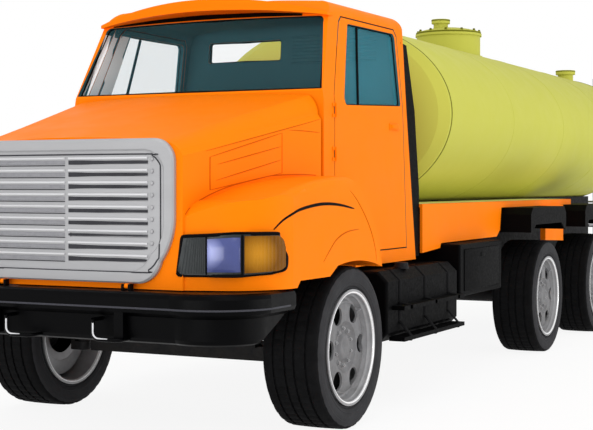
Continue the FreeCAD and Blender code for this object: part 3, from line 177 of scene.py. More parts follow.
def pane(name, rgb, alpha, rough=0.04):
    m, nt, b = tree(name)
    rgb = srgb(*rgb)
    c = mixed(nt, ramp(nt, noise(nt, 2.2), 0.3, 0.7, 0, 1), shade(rgb, 0.94), shade(rgb, 1.05))
    put(b, {"Base Color": c, "Alpha": alpha, "Specular IOR Level": 0.35,
            "Roughness": ramp(nt, noise(nt, 30, 3), 0.3, 0.7, rough, rough + 0.03)})
    return m


def woven(name, rgb, pitch):
    """Cloth with a plain weave from two crossed sets of waves."""
    m, nt, b = tree(name)
    rgb = srgb(*rgb)
    spot = place(nt)
    bands = [add(nt, "TexWave", {"Scale": pitch, "Distortion": 0.6, "Vector": spot},
                 bands_direction=axis).outputs["Fac"] for axis in "XZ"]
    weave = calc(nt, "MULTIPLY", *bands)
    c = mixed(nt, ramp(nt, weave, 0, 1, 0.2, 0.9), shade(rgb, 0.72), shade(rgb, 1.2))
    c = mixed(nt, ramp(nt, noise(nt, 6, 4), 0.35, 0.7, 0, 0.4), c, shade(rgb, 0.8))
    put(b, {"Base Color": c, "Sheen Weight": 0.25,
            "Roughness": ramp(nt, noise(nt, 30, 3), 0.3, 0.7, 0.82, 0.95)})
    bump(nt, b, weave, 0.35, 0.0012)
    return m


DUST = srgb(120, 108, 90)
# name, colour, roughness, how much and how finely the colour varies, spread of the roughness,
# relief (scale, strength, depth), grime (level, from height, to height)
M = {
    "orange": make("cab_orange", (255, 127, 4), 0.5, 0.015, 0.7, 0.05, (260, 0.03, 0.0005),
                   ior=1.12),
    "line": make("panel_line", (204, 92, 2), 0.6, 0.1, 5, 0.05, ior=1.1),
    "khaki": make("tank_khaki", (194, 194, 84), 0.55, 0.02, 0.8, 0.06, (180, 0.05, 0.0006),
                  ior=1.14),
    "khaki_line": make("tank_seam", (112, 112, 30), 0.6, 0.1, 5, 0.05, ior=1.1),
    "frame": make("chassis_black", (7, 7, 9), 0.6, 0.2, 5, 0.1, (90, 0.12, 0.001), (0.05, 0.2, 1.1),
                  ior=1.14),
    "bumper": make("bumper_black", (2, 2, 3), 0.38, 0.15, 4, 0.06, (300, 0.05, 0.0005), ior=1.14),
    # strip: a grey line along the black bumper, a painted highlight
    "strip": make("bumper_highlight_strip", (62, 62, 68), 0.4, 0.08, 9, 0.05, ior=1.2),
    "plastic": make("black_plastic", (3, 3, 4), 0.6, 0.2, 8, 0.08, (700, 0.2, 0.0006), ior=1.12),
    "rubber": make("seal_rubber", (8, 8, 10), 0.7, 0.15, 12, 0.06, (500, 0.2, 0.0005), ior=1.14),
    "grille": make("grille_metal", (166, 166, 168), 0.42, 0.04, 10, 0.07, stretch=(0.15, 1, 1),
                   spec=0.3, metal=0.2),
    "highlight_and_shade_bands": make("grille_bar", (206, 206, 208), 0.35, 0.04, 16, 0.06, stretch=(0.12, 1, 1),
                   spec=0.3, metal=0.3),
    # slot: dark grey, painted shade in the grille's slots on one half, also its thin dark lines;
    # mesh: mid grey filling the other half's slots, a painted reflection
    "slot": make("slot_shade_and_seam", (58, 58, 62), 0.7, 0.15, 20, 0.05, (240, 0.3, 0.0008), spec=0.1),
    "mesh": make("slot_painted_reflection", (140, 140, 144), 0.6, 0.1, 30, 0.06, (260, 0.4, 0.001), spec=0.2,
                 metal=0.1),
    "wheel": make("wheel_metal", (150, 150, 152), 0.45, 0.12, 14, 0.09, (120, 0.12, 0.0008),
                  (0.12, 0.1, 1.0), spec=0.3, metal=0.3),
    # disc: darker than the barrel, painted shade for the pressed disc's recess; lip: near white, a
    # painted highlight on the rim's flanges
    "disc": make("wheel_disc_shade", (112, 112, 114), 0.5, 0.2, 9, 0.1, (120, 0.12, 0.0008),
                 (0.12, 0.1, 1.0), spec=0.3, metal=0.3),
    "lip": make("wheel_lip_highlight", (246, 246, 247), 0.25, 0.02, 20, 0.05, (200, 0.04, 0.0004), metal=0.2),
    "tyre": make("tyre_sidewall", (52, 52, 54), 0.8, 0.14, 9, 0.06, (300, 0.2, 0.0006), spec=0.1),
    "tread": make("tyre_tread", (20, 20, 21), 0.85, 0.25, 14, 0.06, (160, 0.3, 0.001), ior=1.14),
    "cast": make("cast_steel", (24, 24, 26), 0.62, 0.2, 9, 0.1, (60, 0.3, 0.002), (0.1, 0.1, 1.0),
                 spec=0.15, metal=0.1),
    "steel": make("steel_parts", (140, 140, 143), 0.4, 0.1, 10, 0.1, (90, 0.1, 0.001), metal=0.6),
    # hook: pale grey, a painted highlight on the tow hooks' front edges
    "hook": make("hook_highlight", (205, 205, 208), 0.4, 0.12, 20, 0.08, (140, 0.15, 0.0008),
                 metal=0.2),
    "red": make("red_lens", (176, 20, 16), 0.16, 0.08, 30, 0.04, (400, 0.3, 0.001), spec=0.3,
                coat=0.4),
    "reflector": make("lamp_reflector", (42, 46, 47), 0.3, 0.12, 9, 0.06, (120, 0.2, 0.001),
                      stretch=(1, 1, 0.2), spec=0.2, metal=0.1),
    "blue": make("lamp_blue", (70, 78, 130), 0.2, 0.08, 9, 0.04, (90, 0.1, 0.001), spec=0.2,
                 coat=0.2),
    "amber": make("lamp_amber", (116, 72, 9), 0.3, 0.1, 14, 0.05, (140, 0.15, 0.001), ior=1.15),
    "trim": make("cab_trim", (58, 104, 112), 0.75, 0.06, 6, 0.06, (600, 0.2, 0.0006), spec=0.08),
    "pale_trim": make("pillar_trim", (250, 254, 255), 0.7, 0.03, 6, 0.06, (600, 0.2, 0.0006),
                      spec=0.1),
    "dash": make("dash_trim", (48, 84, 94), 0.7, 0.08, 6, 0.06, (600, 0.25, 0.0008), spec=0.1),
    "ledge": make("ledge_khaki", (236, 236, 160), 0.6, 0.03, 3, 0.05, ior=1.1),
    "fabric": woven("seat_fabric", (52, 88, 98), 110),
    "glass": pane("window_glass", (120, 165, 175), 0.03),
    "side_glass": pane("door_glass", (80, 200, 226), 0.11),
}


def painted_lens_highlight(key, centre, radius, highlight_tone):
    """A painted highlight: the lens's colour turns lighter towards one spot; the same on both sides
    of the truck.
    """
    nt = M[key].node_tree
    b = nt.nodes["Principled BSDF"]
    under = b.inputs["Base Color"].links[0].from_socket
    x, y, z = add(nt, "SeparateXYZ", {0: place(nt)}).outputs
    spot = add(nt, "CombineXYZ", {0: calc(nt, "ABSOLUTE", x), 1: y, 2: z}).outputs[0]
    gap = add(nt, "VectorMath", {0: spot, 1: centre}, operation="DISTANCE").outputs["Value"]
    put(b, {"Base Color": mixed(nt, ramp(nt, gap, 0.0, radius, 1.0, 0.0), under, highlight_tone)})


# painted highlights on the blue and the amber lens
painted_lens_highlight("blue", (0.905, Y(-1.235), 1.13), 0.10, srgb(176, 184, 240))
painted_lens_highlight("amber", (1.120, Y(-1.06), 1.12), 0.12, srgb(208, 144, 40))

SLOT = {
    "cab_paint": "orange", "tank_paint": "khaki", "frame_black": "frame",
    "bumper_black": "bumper", "black_plastic": "plastic", "grille_metal": "grille",
    "wheel_metal": "wheel", "tyre_rubber": "tyre", "clear_glass": "glass",
    "lamp_glass": "reflector", "red_lamp": "red", "seat_fabric": "fabric",
    "trim_plastic": "dash", "cast_steel": "cast", "steel_parts": "steel",
}
slot_of = {s["node"]: s["material_slot"] for s in frame["record"]["subparts"]}

for name, obj in frame["nodes"].items():
    obj.data.materials.clear()
    key = "side_glass" if name.startswith("door_glass") else SLOT[slot_of[name]]
    key = "frame" if name == "tank_cradle" else key
    obj.data.materials.append(M[key])

# ---- mesh tools
class Shell:
    """Gathers vertices and faces, each face with its material, into one object."""

    def __init__(self):
        self.v, self.f, self.m = [], [], []

    def grid(self, rows, mat=0, close_u=False, close_v=False):
        """Quads over rows of points; u runs along a row, v from row to row."""
        n, k, base = len(rows), len(rows[0]), len(self.v)
        for row in rows:
            self.v.extend(Vector(p) for p in row)
        for i in range(n if close_v else n - 1):
            for j in range(k if close_u else k - 1):
                a, b = i * k + j, i * k + (j + 1) % k
                c, e = ((i + 1) % n) * k + (j + 1) % k, ((i + 1) % n) * k + j
                self.f.append((base + a, base + b, base + c, base + e))
                self.m.append(mat)

    def face(self, points):
        base = len(self.v)
        self.v.extend(Vector(p) for p in points)
        self.f.append(tuple(range(base, base + len(points))))
        self.m.append(0)

    def cap(self, ring, mat=0):
        base = len(self.v)
        self.v.extend(Vector(p) for p in ring)
        self.v.append(sum((Vector(p) for p in ring), Vector()) / len(ring))
        for j in range(len(ring)):
            self.f.append((base + j, base + (j + 1) % len(ring), base + len(ring)))
            self.m.append(mat)

    def sweep(self, path, section, normals=None, closed=False, mat=0, taper=None):
        """A section (across, up) carried along a path; up is one direction, or one per point."""
        n = len(path)
        if isinstance(normals, tuple):
            normals = [normals] * n
        rows = []
        up = Vector(UP)
        for i, p in enumerate(path):
            a = path[(i - 1) % n] if closed or i else path[0]
            b = path[(i + 1) % n] if closed or i < n - 1 else path[-1]
            t = (Vector(b) - Vector(a)).normalized()
            if normals:
                up = Vector(normals[i])
            elif abs(t.dot(up)) > 0.95 and i == 0:
                up = Vector(ACROSS)
            side = t.cross(up).normalized()
            up = side.cross(t).normalized()
            k = taper(i / (n - 1)) if taper else 1.0
            rows.append([Vector(p) + side * (x * k) + up * (z * k) for x, z in section])
        self.grid(rows, mat, close_u=True, close_v=closed)
        if not closed:
            self.cap(rows[0][::-1], mat)
            self.cap(rows[-1], mat)

    def lathe(self, profile, centre, axis, turns=48, bands=None, wave=None):
        """A profile of (along the axis, radius), spun round the axis."""
        axis = Vector(axis).normalized()
        one = axis.orthogonal().normalized()
        two = axis.cross(one)
        rows = []
        for i, (a, r) in enumerate(profile):
            row = []
            for j in range(turns):
                t = 2 * math.pi * j / turns
                q = r - (wave(i, j) if wave else 0.0)
                row.append(Vector(centre) + axis * a + (one * math.cos(t) + two * math.sin(t)) * q)
            rows.append(row)
        if bands is None:
            self.grid(rows, 0, close_u=True)
            return
        for i in range(len(rows) - 1):
            self.grid(rows[i:i + 2], bands[i], close_u=True)

    def block(self, a, b, edge=0.004, mat=0):
        """A box with rounded corners in plan and broken edges."""
        a, b = Vector(a), Vector(b)
        x0, y0, z0 = (min(a[i], b[i]) for i in range(3))
        x1, y1, z1 = (max(a[i], b[i]) for i in range(3))
        rows = []
        for z, g in ((z0, edge), (z0 + edge, 0), (z1 - edge, 0), (z1, edge)):
            ring = []
            for cx, cy, turn in ((x1, y1, 0), (x0, y1, 1), (x0, y0, 2), (x1, y0, 3)):
                sx, sy = (1 if cx == x1 else -1), (1 if cy == y1 else -1)
                for k in range(4):
                    t = math.pi / 2 * (turn + k / 3)
                    ring.append((cx - sx * (edge + g) + edge * math.cos(t),
                                 cy - sy * (edge + g) + edge * math.sin(t), z))
            rows.append(ring)
        self.grid(rows, mat, close_u=True)
        self.cap(rows[0][::-1], mat)
        self.cap(rows[-1], mat)

    def done(self, name, body, mats, smooth=35, weld=True):
        mesh = bpy.data.meshes.new(name)
        (x0, y0, z0), (x1, y1, z1) = cad_bounds
        inside = [(min(max(v[0], x0), x1), min(max(v[1], y0), y1), min(max(v[2], z0), z1))
                  for v in self.v]
        mesh.from_pydata(inside, [], self.f)
        for key in mats:
            mesh.materials.append(M[key])
        for p, m in zip(mesh.polygons, self.m):
            p.material_index = m
        bm = bmesh.new()
        bm.from_mesh(mesh)
        if weld:
            bmesh.ops.remove_doubles(bm, verts=bm.verts, dist=0.00005)
        bmesh.ops.recalc_face_normals(bm, faces=bm.faces)
        limit = math.radians(smooth)
        for f in bm.faces:
            f.smooth = True
        for e in bm.edges:
            if len(e.link_faces) == 2 and e.calc_face_angle(0) > limit:
                e.smooth = False
        bm.to_mesh(mesh)
        bm.free()
        o = bpy.data.objects.new(name, mesh)
        scene.collection.objects.link(o)
        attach(o, body)
        return o


def curve(points, n, closed=False):
    """A smooth line through points, resampled to n evenly spread points."""
    pts = [Vector(p) for p in points]
    k = len(pts)
    fine = []
    for i in range(k if closed else k - 1):
        p0 = pts[(i - 1) % k] if closed or i else pts[0]
        p1, p2 = pts[i], pts[(i + 1) % k]
        p3 = pts[(i + 2) % k] if closed or i < k - 2 else pts[-1]
        for s in range(24):
            t = s / 24
            fine.append(0.5 * ((2 * p1) + (p2 - p0) * t + (2 * p0 - 5 * p1 + 4 * p2 - p3) * t * t
                               + (3 * p1 - p0 - 3 * p2 + p3) * t ** 3))
    fine.append(pts[0] if closed else pts[-1])
    return even(fine, n, closed)


def even(pts, n, closed=False):
    """Points spread evenly along a polyline."""
    run = [0.0]
    for a, b in zip(pts, pts[1:]):
        run.append(run[-1] + (b - a).length)
    out, j = [], 0
    for i in range(n):
        want = run[-1] * i / (n if closed else n - 1)
        while j < len(run) - 2 and run[j + 1] < want:
            j += 1
        span = run[j + 1] - run[j] or 1.0
        out.append(pts[j].lerp(pts[j + 1], (want - run[j]) / span))
    return out


BVH = {}


def skin(names):
    """One search tree over the CAD surfaces of one node, or of several."""
    names = (names,) if isinstance(names, str) else names
    if names not in BVH:
        verts, faces = [], []
        for n in names:
            mesh = frame["nodes"][n].data
            base = len(verts)
            verts += [v.co.copy() for v in mesh.vertices]
            faces += [tuple(base + i for i in p.vertices) for p in mesh.polygons]
        BVH[names] = BVHTree.FromPolygons(verts, faces)
    return BVH[names]


def hit(names, start, way):
    """Where a ray from outside meets the skin, and the surface's outward direction."""
    way = Vector(way).normalized()
    p, n, i, far = skin(names).ray_cast(Vector(start), way)
    if p is None:
        return None
    return p, (n if n.dot(way) < 0 else -n)


def traced(names, rays):
    """The places where rays (start, way) meet the skin, and its outward directions there."""
    found = [q for q in (hit(names, start, way) for start, way in rays) if q]
    return [q[0] for q in found], [q[1] for q in found]


def circle(n, r):
    turns = [2 * math.pi * k / n for k in range(n)]
    return [(r * math.cos(t), r * math.sin(t)) for t in turns]


def bead_section(w, h):
    """A low rounded strip that stands on a surface."""
    return [(-w / 2, -0.0015), (-w * 0.46, h * 0.45), (-w * 0.26, h * 0.9), (0, h),
            (w * 0.26, h * 0.9), (w * 0.46, h * 0.45), (w / 2, -0.0015)]


def turned(name, body, mats, profile, centre, axis, turns, smooth, **more):
    """One piece spun round an axis."""
    sh = Shell()
    sh.lathe(profile, centre, axis, turns, **more)
    return sh.done(name, body, mats, smooth)


def line_piece(name, body, mat, path, ups, section, closed=False, taper=None, smooth=50):
    """One piece made of one section swept along one line."""
    sh = Shell()
    sh.sweep(path, section, ups, closed=closed, taper=taper)
    return sh.done(name, body, [mat], smooth)


def laid(names, points, start_of, way, n, closed=False):
    """A line dropped on the skin along one direction."""
    return traced(names, [(start_of(p), way) for p in curve(points, n, closed)])


def hull_outline(name, u, v, keep=None):
    """The convex outline of a node seen along the third axis, as (u, v) pairs."""
    pts = sorted({(round(w.co[u], 5), round(w.co[v], 5)) for w in frame["nodes"][name].data.vertices
                  if keep is None or keep(w.co)})

    def lower(seq):
        out = []
        for p in seq:
            while len(out) > 1 and ((out[-1][0] - out[-2][0]) * (p[1] - out[-2][1])
                                    - (out[-1][1] - out[-2][1]) * (p[0] - out[-2][0])) <= 0:
                out.pop()
            out.append(p)
        return out[:-1]
    return lower(pts) + lower(pts[::-1])


# ---- wheels
def half(node, axis):
    return (hi(node)[axis] - lo(node)[axis]) / 2


TYRE_W, TYRE_R = half("tyre_front_left", 0), half("tyre_front_left", 2)
RIM_W, RIM_R = half("rim_front_left", 0), half("rim_front_left", 2)
# the tyre's section: across, as a share of its half width, and the radius over the bead's
FLANK = [(0.80, -0.012), (0.87, -0.006), (0.90, 0.004), (0.885, 0.012), (0.945, 0.020),
         (0.975, 0.034), (0.985, 0.036), (0.990, 0.040), (0.980, 0.044), (0.997, 0.064)]
# the same on to the middle of the tread, with the radius under the tread's
SHOULDER = [(0.999, 0.064), (0.985, 0.050), (0.992, 0.046), (0.985, 0.042), (0.962, 0.026)]
TREAD = [(0.945, 0.020), (0.90, 0.009), (0.84, 0.004), (0.80, 0.003), (0.60, 0.0015),
         (0.590, 0.014), (0.525, 0.014), (0.515, 0.001), (0.20, 0), (0.19, 0.013), (0.13, 0.013),
         (0.12, 0)]


def build_tyre(tag):
    out = [(TYRE_W * a, RIM_R + r) for a, r in FLANK]
    out += [(TYRE_W * a, TYRE_R - r) for a, r in SHOULDER + TREAD]
    whole = out + [(-a, r) for a, r in reversed(out)]
    n_flank, n_all = len(FLANK + SHOULDER), len(whole)
    bands = [0 if i < n_flank or i >= n_all - n_flank - 1 else 1 for i in range(n_all - 1)]

    def wave(i, j):
        """Cuts across the shoulder and zigzag edges on the ribs."""
        k = i if i < n_all / 2 else n_all - 1 - i
        step = j % 6
        if n_flank <= k <= n_flank + 3 and step >= 4:
            return 0.0025
        if k in (n_flank + 4, n_flank + 7, n_flank + 8, n_flank + 11) and (j % 4) >= 3:
            return 0.005
        return 0.0
    o = turned("tyre_detail" + tag, "wheel" + tag, ["tyre", "tread"], whole, mid("tyre" + tag),
               ACROSS, 216, 28, bands=bands, wave=wave)
    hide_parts("tyre" + tag)


HOLES, HOLE_RING, HOLE_R = 6, 0.228, 0.060
# the wheel's section: distances from its outer face and from its full radius, in millimetres
LIP = [(1, 18), (0, 21), (3, 26), (10, 28.5)]
BARREL = [(24, 30), (34, 34), (40, 40), (70, 44), (78, 50), (79, 60), (72, 68), (58, 76), (52, 84)]
BACK_BARREL = [(66, 90), (86, 76), (96, 60), (98, 40)]
# the pressed disc and the hub, front and back: distances from the outer face and from the axis
DISC = [(47, 245), (45, 195), (48, 158), (60, 144), (66, 134), (67, 94), (63, 86), (50, 76),
        (45, 62), (44, 46), (48, 34), (49, 1)]
DISC_BACK = [(80, 1), (80, 140), (62, 160), (59, 245)]


def rim_mesh():
    """One wheel turned about the X axis: flange, barrel, pressed disc and hub, with hand holes."""
    h, f = RIM_W, RIM_R
    high = 1.5                          # made well above the ground, where done() clamps nothing

    def under(points):
        return [(h - a / 1000, f - r / 1000) for a, r in points]

    def round_axis(points):
        return [(h - a / 1000, r / 1000) for a, r in points]
    lip, face = under(LIP), under(BARREL) + round_axis(DISC)
    back = round_axis(DISC_BACK) + under(BACK_BARREL) + [(0.040 - h, f - 0.036)]
    rear_lip = [(0.014 - h, f - 0.031), (0.003 - h, f - 0.027), (-h, f - 0.021),
                (0.001 - h, f - 0.017)]
    hidden = [(0.002 - h, f - 0.002), (0.012 - h, f - 0.002), (0.024 - h, f - 0.016),
              (0.0, f - 0.026)] + under([(20, 16), (10, 3), (2, 3)])
    ring = lip + face + back + rear_lip + hidden + lip[:1]
    n1, n2 = len(lip) - 1, len(lip + face + back)
    # the flanges take the near-white lip colour, a painted highlight, and the pressed disc the
    # darker grey, painted shade
    highlight_and_shade_bands = [1 if i < n1 or n2 <= i < n2 + 3 else 2 if n1 + 9 <= i < n1 + len(face) else 0
              for i in range(len(ring) - 1)]
    disc = turned("rim_blank", "chassis", ["wheel", "lip", "disc"], ring, (0, 0, high), ACROSS,
                  96, 35, bands=highlight_and_shade_bands)
    cut = Shell()
    for y, z in circle(HOLES, HOLE_RING):
        cut.lathe([(h - 0.13, 0.0005), (h - 0.13, HOLE_R), (h - 0.02, HOLE_R), (h - 0.02, 0.0005)],
                  (0, y, high + z), ACROSS, 32)
    tool = cut.done("rim_cutter", "chassis", ["wheel"], 35)
    mod = disc.modifiers.new("holes", "BOOLEAN")
    mod.operation, mod.solver, mod.object = "DIFFERENCE", "EXACT", tool
    bpy.context.view_layer.update()
    cut_disc = disc.evaluated_get(bpy.context.evaluated_depsgraph_get()).to_mesh()
    out = ([v.co - Vector((0, 0, high)) for v in cut_disc.vertices],
           [tuple(p.vertices) for p in cut_disc.polygons],
           [p.material_index for p in cut_disc.polygons])
    for o in (disc, tool):
        bpy.data.objects.remove(o)
    return out


RIM = rim_mesh()
# the drum, as (along the axis, radius), and the nuts that hold the wheel
DRUM = [(-0.062, 0.150), (-0.068, 0.200), (-0.060, 0.215), (-0.060, 0.280), (-0.052, 0.302),
        (0.030, 0.302), (0.036, 0.296), (0.036, 0.120)]
NUTS, NUT_RING = 10, 0.113
NUT = [(-0.004, 0.0150), (0.002, 0.0150), (0.003, 0.0125), (0.011, 0.0125), (0.014, 0.009),
       (0.014, 0.0055), (0.018, 0.005), (0.019, 0.001)]
SIXTH = math.pi / 3


def build_wheel(tag, s):
    """The rim with its hand holes, the nuts, the valve and a drum behind the holes."""
    c, ax, body = mid("tyre" + tag), Vector((s, 0, 0)), "wheel" + tag
    sh = Shell()
    sh.v = [c + Vector((s * v.x, v.y, v.z)) for v in RIM[0]]
    sh.f, sh.m = list(RIM[1]), list(RIM[2])
    o = sh.done("rim_detail" + tag, body, ["wheel", "lip", "disc"], 33)
    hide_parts("rim" + tag)
    turned("wheel_drum" + tag, body, ["wheel", "plastic"], DRUM, c, ax, 64, 30,
           bands=[0] * 4 + [1] * 3)
    sh = Shell()
    for k in range(NUTS):
        t = 2 * math.pi * (k + 0.5) / NUTS
        foot = c + ax * (RIM_W - 0.066) + Vector((0, math.cos(t), math.sin(t))) * NUT_RING
        rows = []
        for i, (a, r) in enumerate(NUT):
            ring = []
            for j in range(24):
                u = 2 * math.pi * j / 24
                flat = math.cos(SIXTH / 2) / math.cos(u % SIXTH - SIXTH / 2)
                ring.append(foot + ax * a + Vector((0, math.cos(u), math.sin(u)))
                            * (r * flat if 2 <= i <= 4 else r))
            rows.append(ring)
        sh.grid(rows, 0, close_u=True)
    sh.done("wheel_nuts" + tag, body, ["wheel"], 30)
    sh = Shell()
    root = c + ax * (RIM_W - 0.084) + Vector((0, 0.205, 0.205))
    stem = [root + ax * a + Vector((0, b, b)) for a, b in
            ((0, 0), (0.022, 0), (0.036, 0.005), (0.046, 0.014))]
    sh.sweep(curve(stem, 12), circle(10, 0.005))
    sh.done("valve" + tag, body, ["steel"], 40)


for row in ("front", "mid", "rear"):
    for side, s in SIGN.items():
        build_tyre("_%s_%s" % (row, side))
        build_wheel("_%s_%s" % (row, side), s)

# ---- hood and fenders
def side_points(s, pts):
    return [Vector((s * x, Y(back), z)) for x, back, z in pts]


def snapped(names, points, n):
    """A line pulled onto the nearest place on the skin."""
    path, ups = [], []
    for p in curve(points, n):
        q, up = skin(names).find_nearest(p)[:2]
        path.append(q)
        ups.append(up if up.dot(p - Vector((0, p.y, 1.2))) > 0 else -up)
    return path, ups


def unit(t):
    return min(1.0, max(0.0, t))


def fade(t):
    """Thin at both ends, full in the middle."""
    return 0.35 + 0.65 * math.sin(math.pi * unit(t)) ** 0.6


# The lines on the hood's flank: (station, height) along each, its width, its height, how many
# points, and whether it fades at its ends.
TOP_A, LOW_A, LOW_B, TOP_B = (-1.001, 1.652), (-1.001, 1.467), (-0.305, 1.567), (-0.305, 1.809)
FLANK_LINES = [([TOP_A, (-1.002, 1.56), LOW_A], 0.0085, 0.004, 16, None)]
for a, b in ((LOW_A, LOW_B), (TOP_A, TOP_B), ((-0.93, 1.612), (-0.315, 1.727)),
             ((-0.945, 1.521), (-0.315, 1.646))):
    middle = ((a[0] + b[0]) / 2, (a[1] + b[1]) / 2)
    FLANK_LINES.append(([a, middle, b], 0.0062, 0.0035, 30, fade))
FLANK_LINES += [
    ([TOP_B, (-0.305, 1.69), LOW_B], 0.005, 0.003, 16, None),
    # the crease above the vent, and the short one behind it
    ([(-1.037, 1.685), (-0.723, 1.746), (-0.326, 1.823), (-0.114, 1.864), (0.108, 1.908)],
     0.006, 0.0032, 60, fade),
    ([(-0.231, 1.829), (-0.06, 1.829), (0.104, 1.824)], 0.005, 0.003, 16, fade),
    # the fender's rear edge, and the inner line over the wheel arch
    ([(-0.063, 1.462), (0.042, 1.402), (0.175, 1.295), (0.268, 1.192), (0.330, 1.082),
      (0.345, 1.012)], 0.006, 0.0032, 50, fade),
    ([(-0.439, 1.045), (-0.35, 1.112), (-0.252, 1.172), (-0.107, 1.211), (0.072, 1.223)],
     0.0085, 0.0035, 40, fade),
]
# the sealed joint between the fender's crown and the hood
JOINT = [(0.735, -1.236, 1.300), (0.765, -1.187, 1.363), (0.785, -1.037, 1.430),
         (0.817, -0.808, 1.490), (0.859, -0.509, 1.538), (0.877, -0.377, 1.553),
         (0.914, -0.114, 1.560), (0.935, 0.06, 1.556)]
# the dark moulding that arches over the wheel
ARC = [(1.178, -0.972, 1.250), (1.206, -0.905, 1.305), (1.226, -0.786, 1.349),
       (1.228, -0.606, 1.374), (1.228, -0.419, 1.385), (1.228, -0.209, 1.376),
       (1.228, -0.004, 1.351)]
for side, s in SIGN.items():
    sh = Shell()
    for pts, wide, tall, n, taper in FLANK_LINES:
        path, ups = laid("hood", [Vector((0, Y(y), z)) for y, z in pts],
                         lambda p: (s * 2.5, p.y, p.z), (-s, 0, 0), n)
        sh.sweep(path, bead_section(wide, tall), ups, taper=taper)
    path, ups = snapped("hood", side_points(s, JOINT), 60)
    sh.sweep(path, bead_section(0.007, 0.003), ups)
    sh.done("hood_lines_" + side, "hood", ["line"], 40)
    path, ups = snapped("hood", side_points(s, ARC), 60)
    line_piece("arch_moulding_" + side, "hood", "rubber", path, ups, bead_section(0.019, 0.007),
               taper=fade, smooth=40)

# ---- headlights
# Panels laid on the fender's corner, addressed by the angle round it and the height.
LAMP_END, CORNER = 96.0, 15.0            # the outer end, and how far before it the corners turn in


def turned_in(deg):
    """How far the corners at the outer end have turned in, from 0 to 1."""
    return 1 - (1 - unit((deg - LAMP_END + CORNER) / CORNER) ** 2) ** 0.5


def low_edge(deg):
    """The height of the lamp's foot at one angle."""
    return 1.001 + 0.012 * unit((deg - 25) / 60) + 0.052 * turned_in(deg)


def top_edge(deg):
    """The height of the lamp's head at one angle."""
    return 1.216 + 0.014 * unit((deg + 30) / 50) - 0.110 * turned_in(deg)


def lamp_start(v):
    """The inner end leans: its foot reaches further in than its head."""
    return -37.5 + 4.0 * v


for side, s in SIGN.items():
    heart = Vector((s * 0.95, Y(-0.95), 0))

    def at(deg, z, off=0.0):
        t = math.radians(deg)
        way = Vector((s * math.sin(t), -math.cos(t), 0))
        q = hit(("headlights", "hood"), heart + way * 1.2 + Vector((0, 0, z)), -way)
        if q is None:
            return heart + way * 0.33 + Vector((0, 0, z)), way
        return q[0] + way * off, q[1]

    def panel(sh, start, end, mat, relief, na, nz, inset=0.010):
        rows = []
        for v in (k / nz for k in range(nz + 1)):
            row = []
            for j in range(na + 1):
                deg = start(v) + (end - start(v)) * j / na
                z0, z1 = low_edge(deg) + inset, top_edge(deg) - inset
                row.append(at(deg, z0 + (z1 - z0) * v, relief(j / na, v))[0])
            rows.append(row)
        sh.grid(rows, mat)

    def dome(u, v):
        return 0.005 + 0.013 * max(0.0, 1 - (2 * u - 1) ** 4) * max(0.0, 1 - (2 * v - 1) ** 4)

    sh = Shell()
    panel(sh, lambda v: lamp_start(v) + 1.5, LAMP_END - 0.5, 0, lambda u, v: 0.002, 60, 8, 0.004)
    # the reflector's fine upright flutes, the domed lamp, the amber lamp's shallow ribs
    panel(sh, lambda v: lamp_start(v) + 3.5, -13.5, 0,
          lambda u, v: 0.005 + 0.0012 * math.sin(u * 60), 60, 12)
    panel(sh, lambda v: -12.0, 30.5, 1, dome, 36, 18, 0.020)
    panel(sh, lambda v: 36.0, LAMP_END - 2.5, 2,
          lambda u, v: 0.006 + 0.0007 * math.sin(u * 70), 70, 16, 0.012)
    o = sh.done("headlight_unit_" + side, "hood", ["reflector", "blue", "amber"], 50)
    if side == "left":
        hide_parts("headlights")
    sh = Shell()
    ring = [(-36.6, 1.0045), (lamp_start(0.12), 1.026), (lamp_start(0.5), 1.11),
            (lamp_start(0.9), 1.200), (lamp_start(1) + 0.8, 1.212), (lamp_start(1) + 3, 1.2155)]
    ring += [(d, top_edge(d)) for d in list(range(-24, 80, 8)) + [84, 88, 91, 93.5, 95.3]]
    ring += [(LAMP_END, 1.10)]
    ring += [(d, low_edge(d)) for d in [95.3, 92, 88] + list(range(80, -34, -8))]
    path = curve([at(d, z, 0.002)[0] for d, z in ring], 170, True)
    ups = [Vector((p.x - heart.x, p.y - heart.y, 0)).normalized() for p in path]
    sh.sweep(path, [(-0.010, -0.004), (-0.009, 0.006), (-0.005, 0.0095), (0.003, 0.0095),
                    (0.008, 0.006), (0.010, -0.004)], ups, closed=True)
    for deg, wide in ((33.2, 0.007), (-13.0, 0.003)):
        low, tall = low_edge(deg) + 0.006, top_edge(deg) - low_edge(deg) - 0.012
        spine = [at(deg, low + k * tall / 10, 0.004) for k in range(11)]
        sh.sweep([p for p, n in spine], [(-wide, -0.004), (-wide * 0.85, 0.007),
                                         (wide * 0.85, 0.007), (wide, -0.004)],
                 [n for p, n in spine])
    sh.done("headlight_bezel_" + side, "hood", ["rubber"], 40)

# ---- bumper
# the pale strip is a painted highlight along the bumper's bar: rays from outside, along the side,
# round the corner and over the front's half
HIGHLIGHT_Z, CORNER_X, CORNER_BACK = 0.826, 0.93, -1.10
legs = [(1, 0, CORNER_X, back) for back in (-0.86, -0.94, -1.02)]
legs += [(math.cos(math.radians(a)), -math.sin(math.radians(a)), CORNER_X, CORNER_BACK)
         for a in range(0, 91, 5)]
legs += [(0, -1, CORNER_X * k / 24, CORNER_BACK) for k in range(23, -1, -1)]
rays = []
for flip, part in ((1, legs), (-1, legs[-2::-1])):
    for wx, wy, x, back in part:
        way = Vector((wx * flip, wy, 0))
        rays.append((Vector((x * flip, Y(back), HIGHLIGHT_Z)) + way * 0.8, -way))
path, ups = traced("front_bumper", rays)
line_piece("bumper_highlight_strip", "chassis", "strip", path, ups, bead_section(0.011, 0.003))
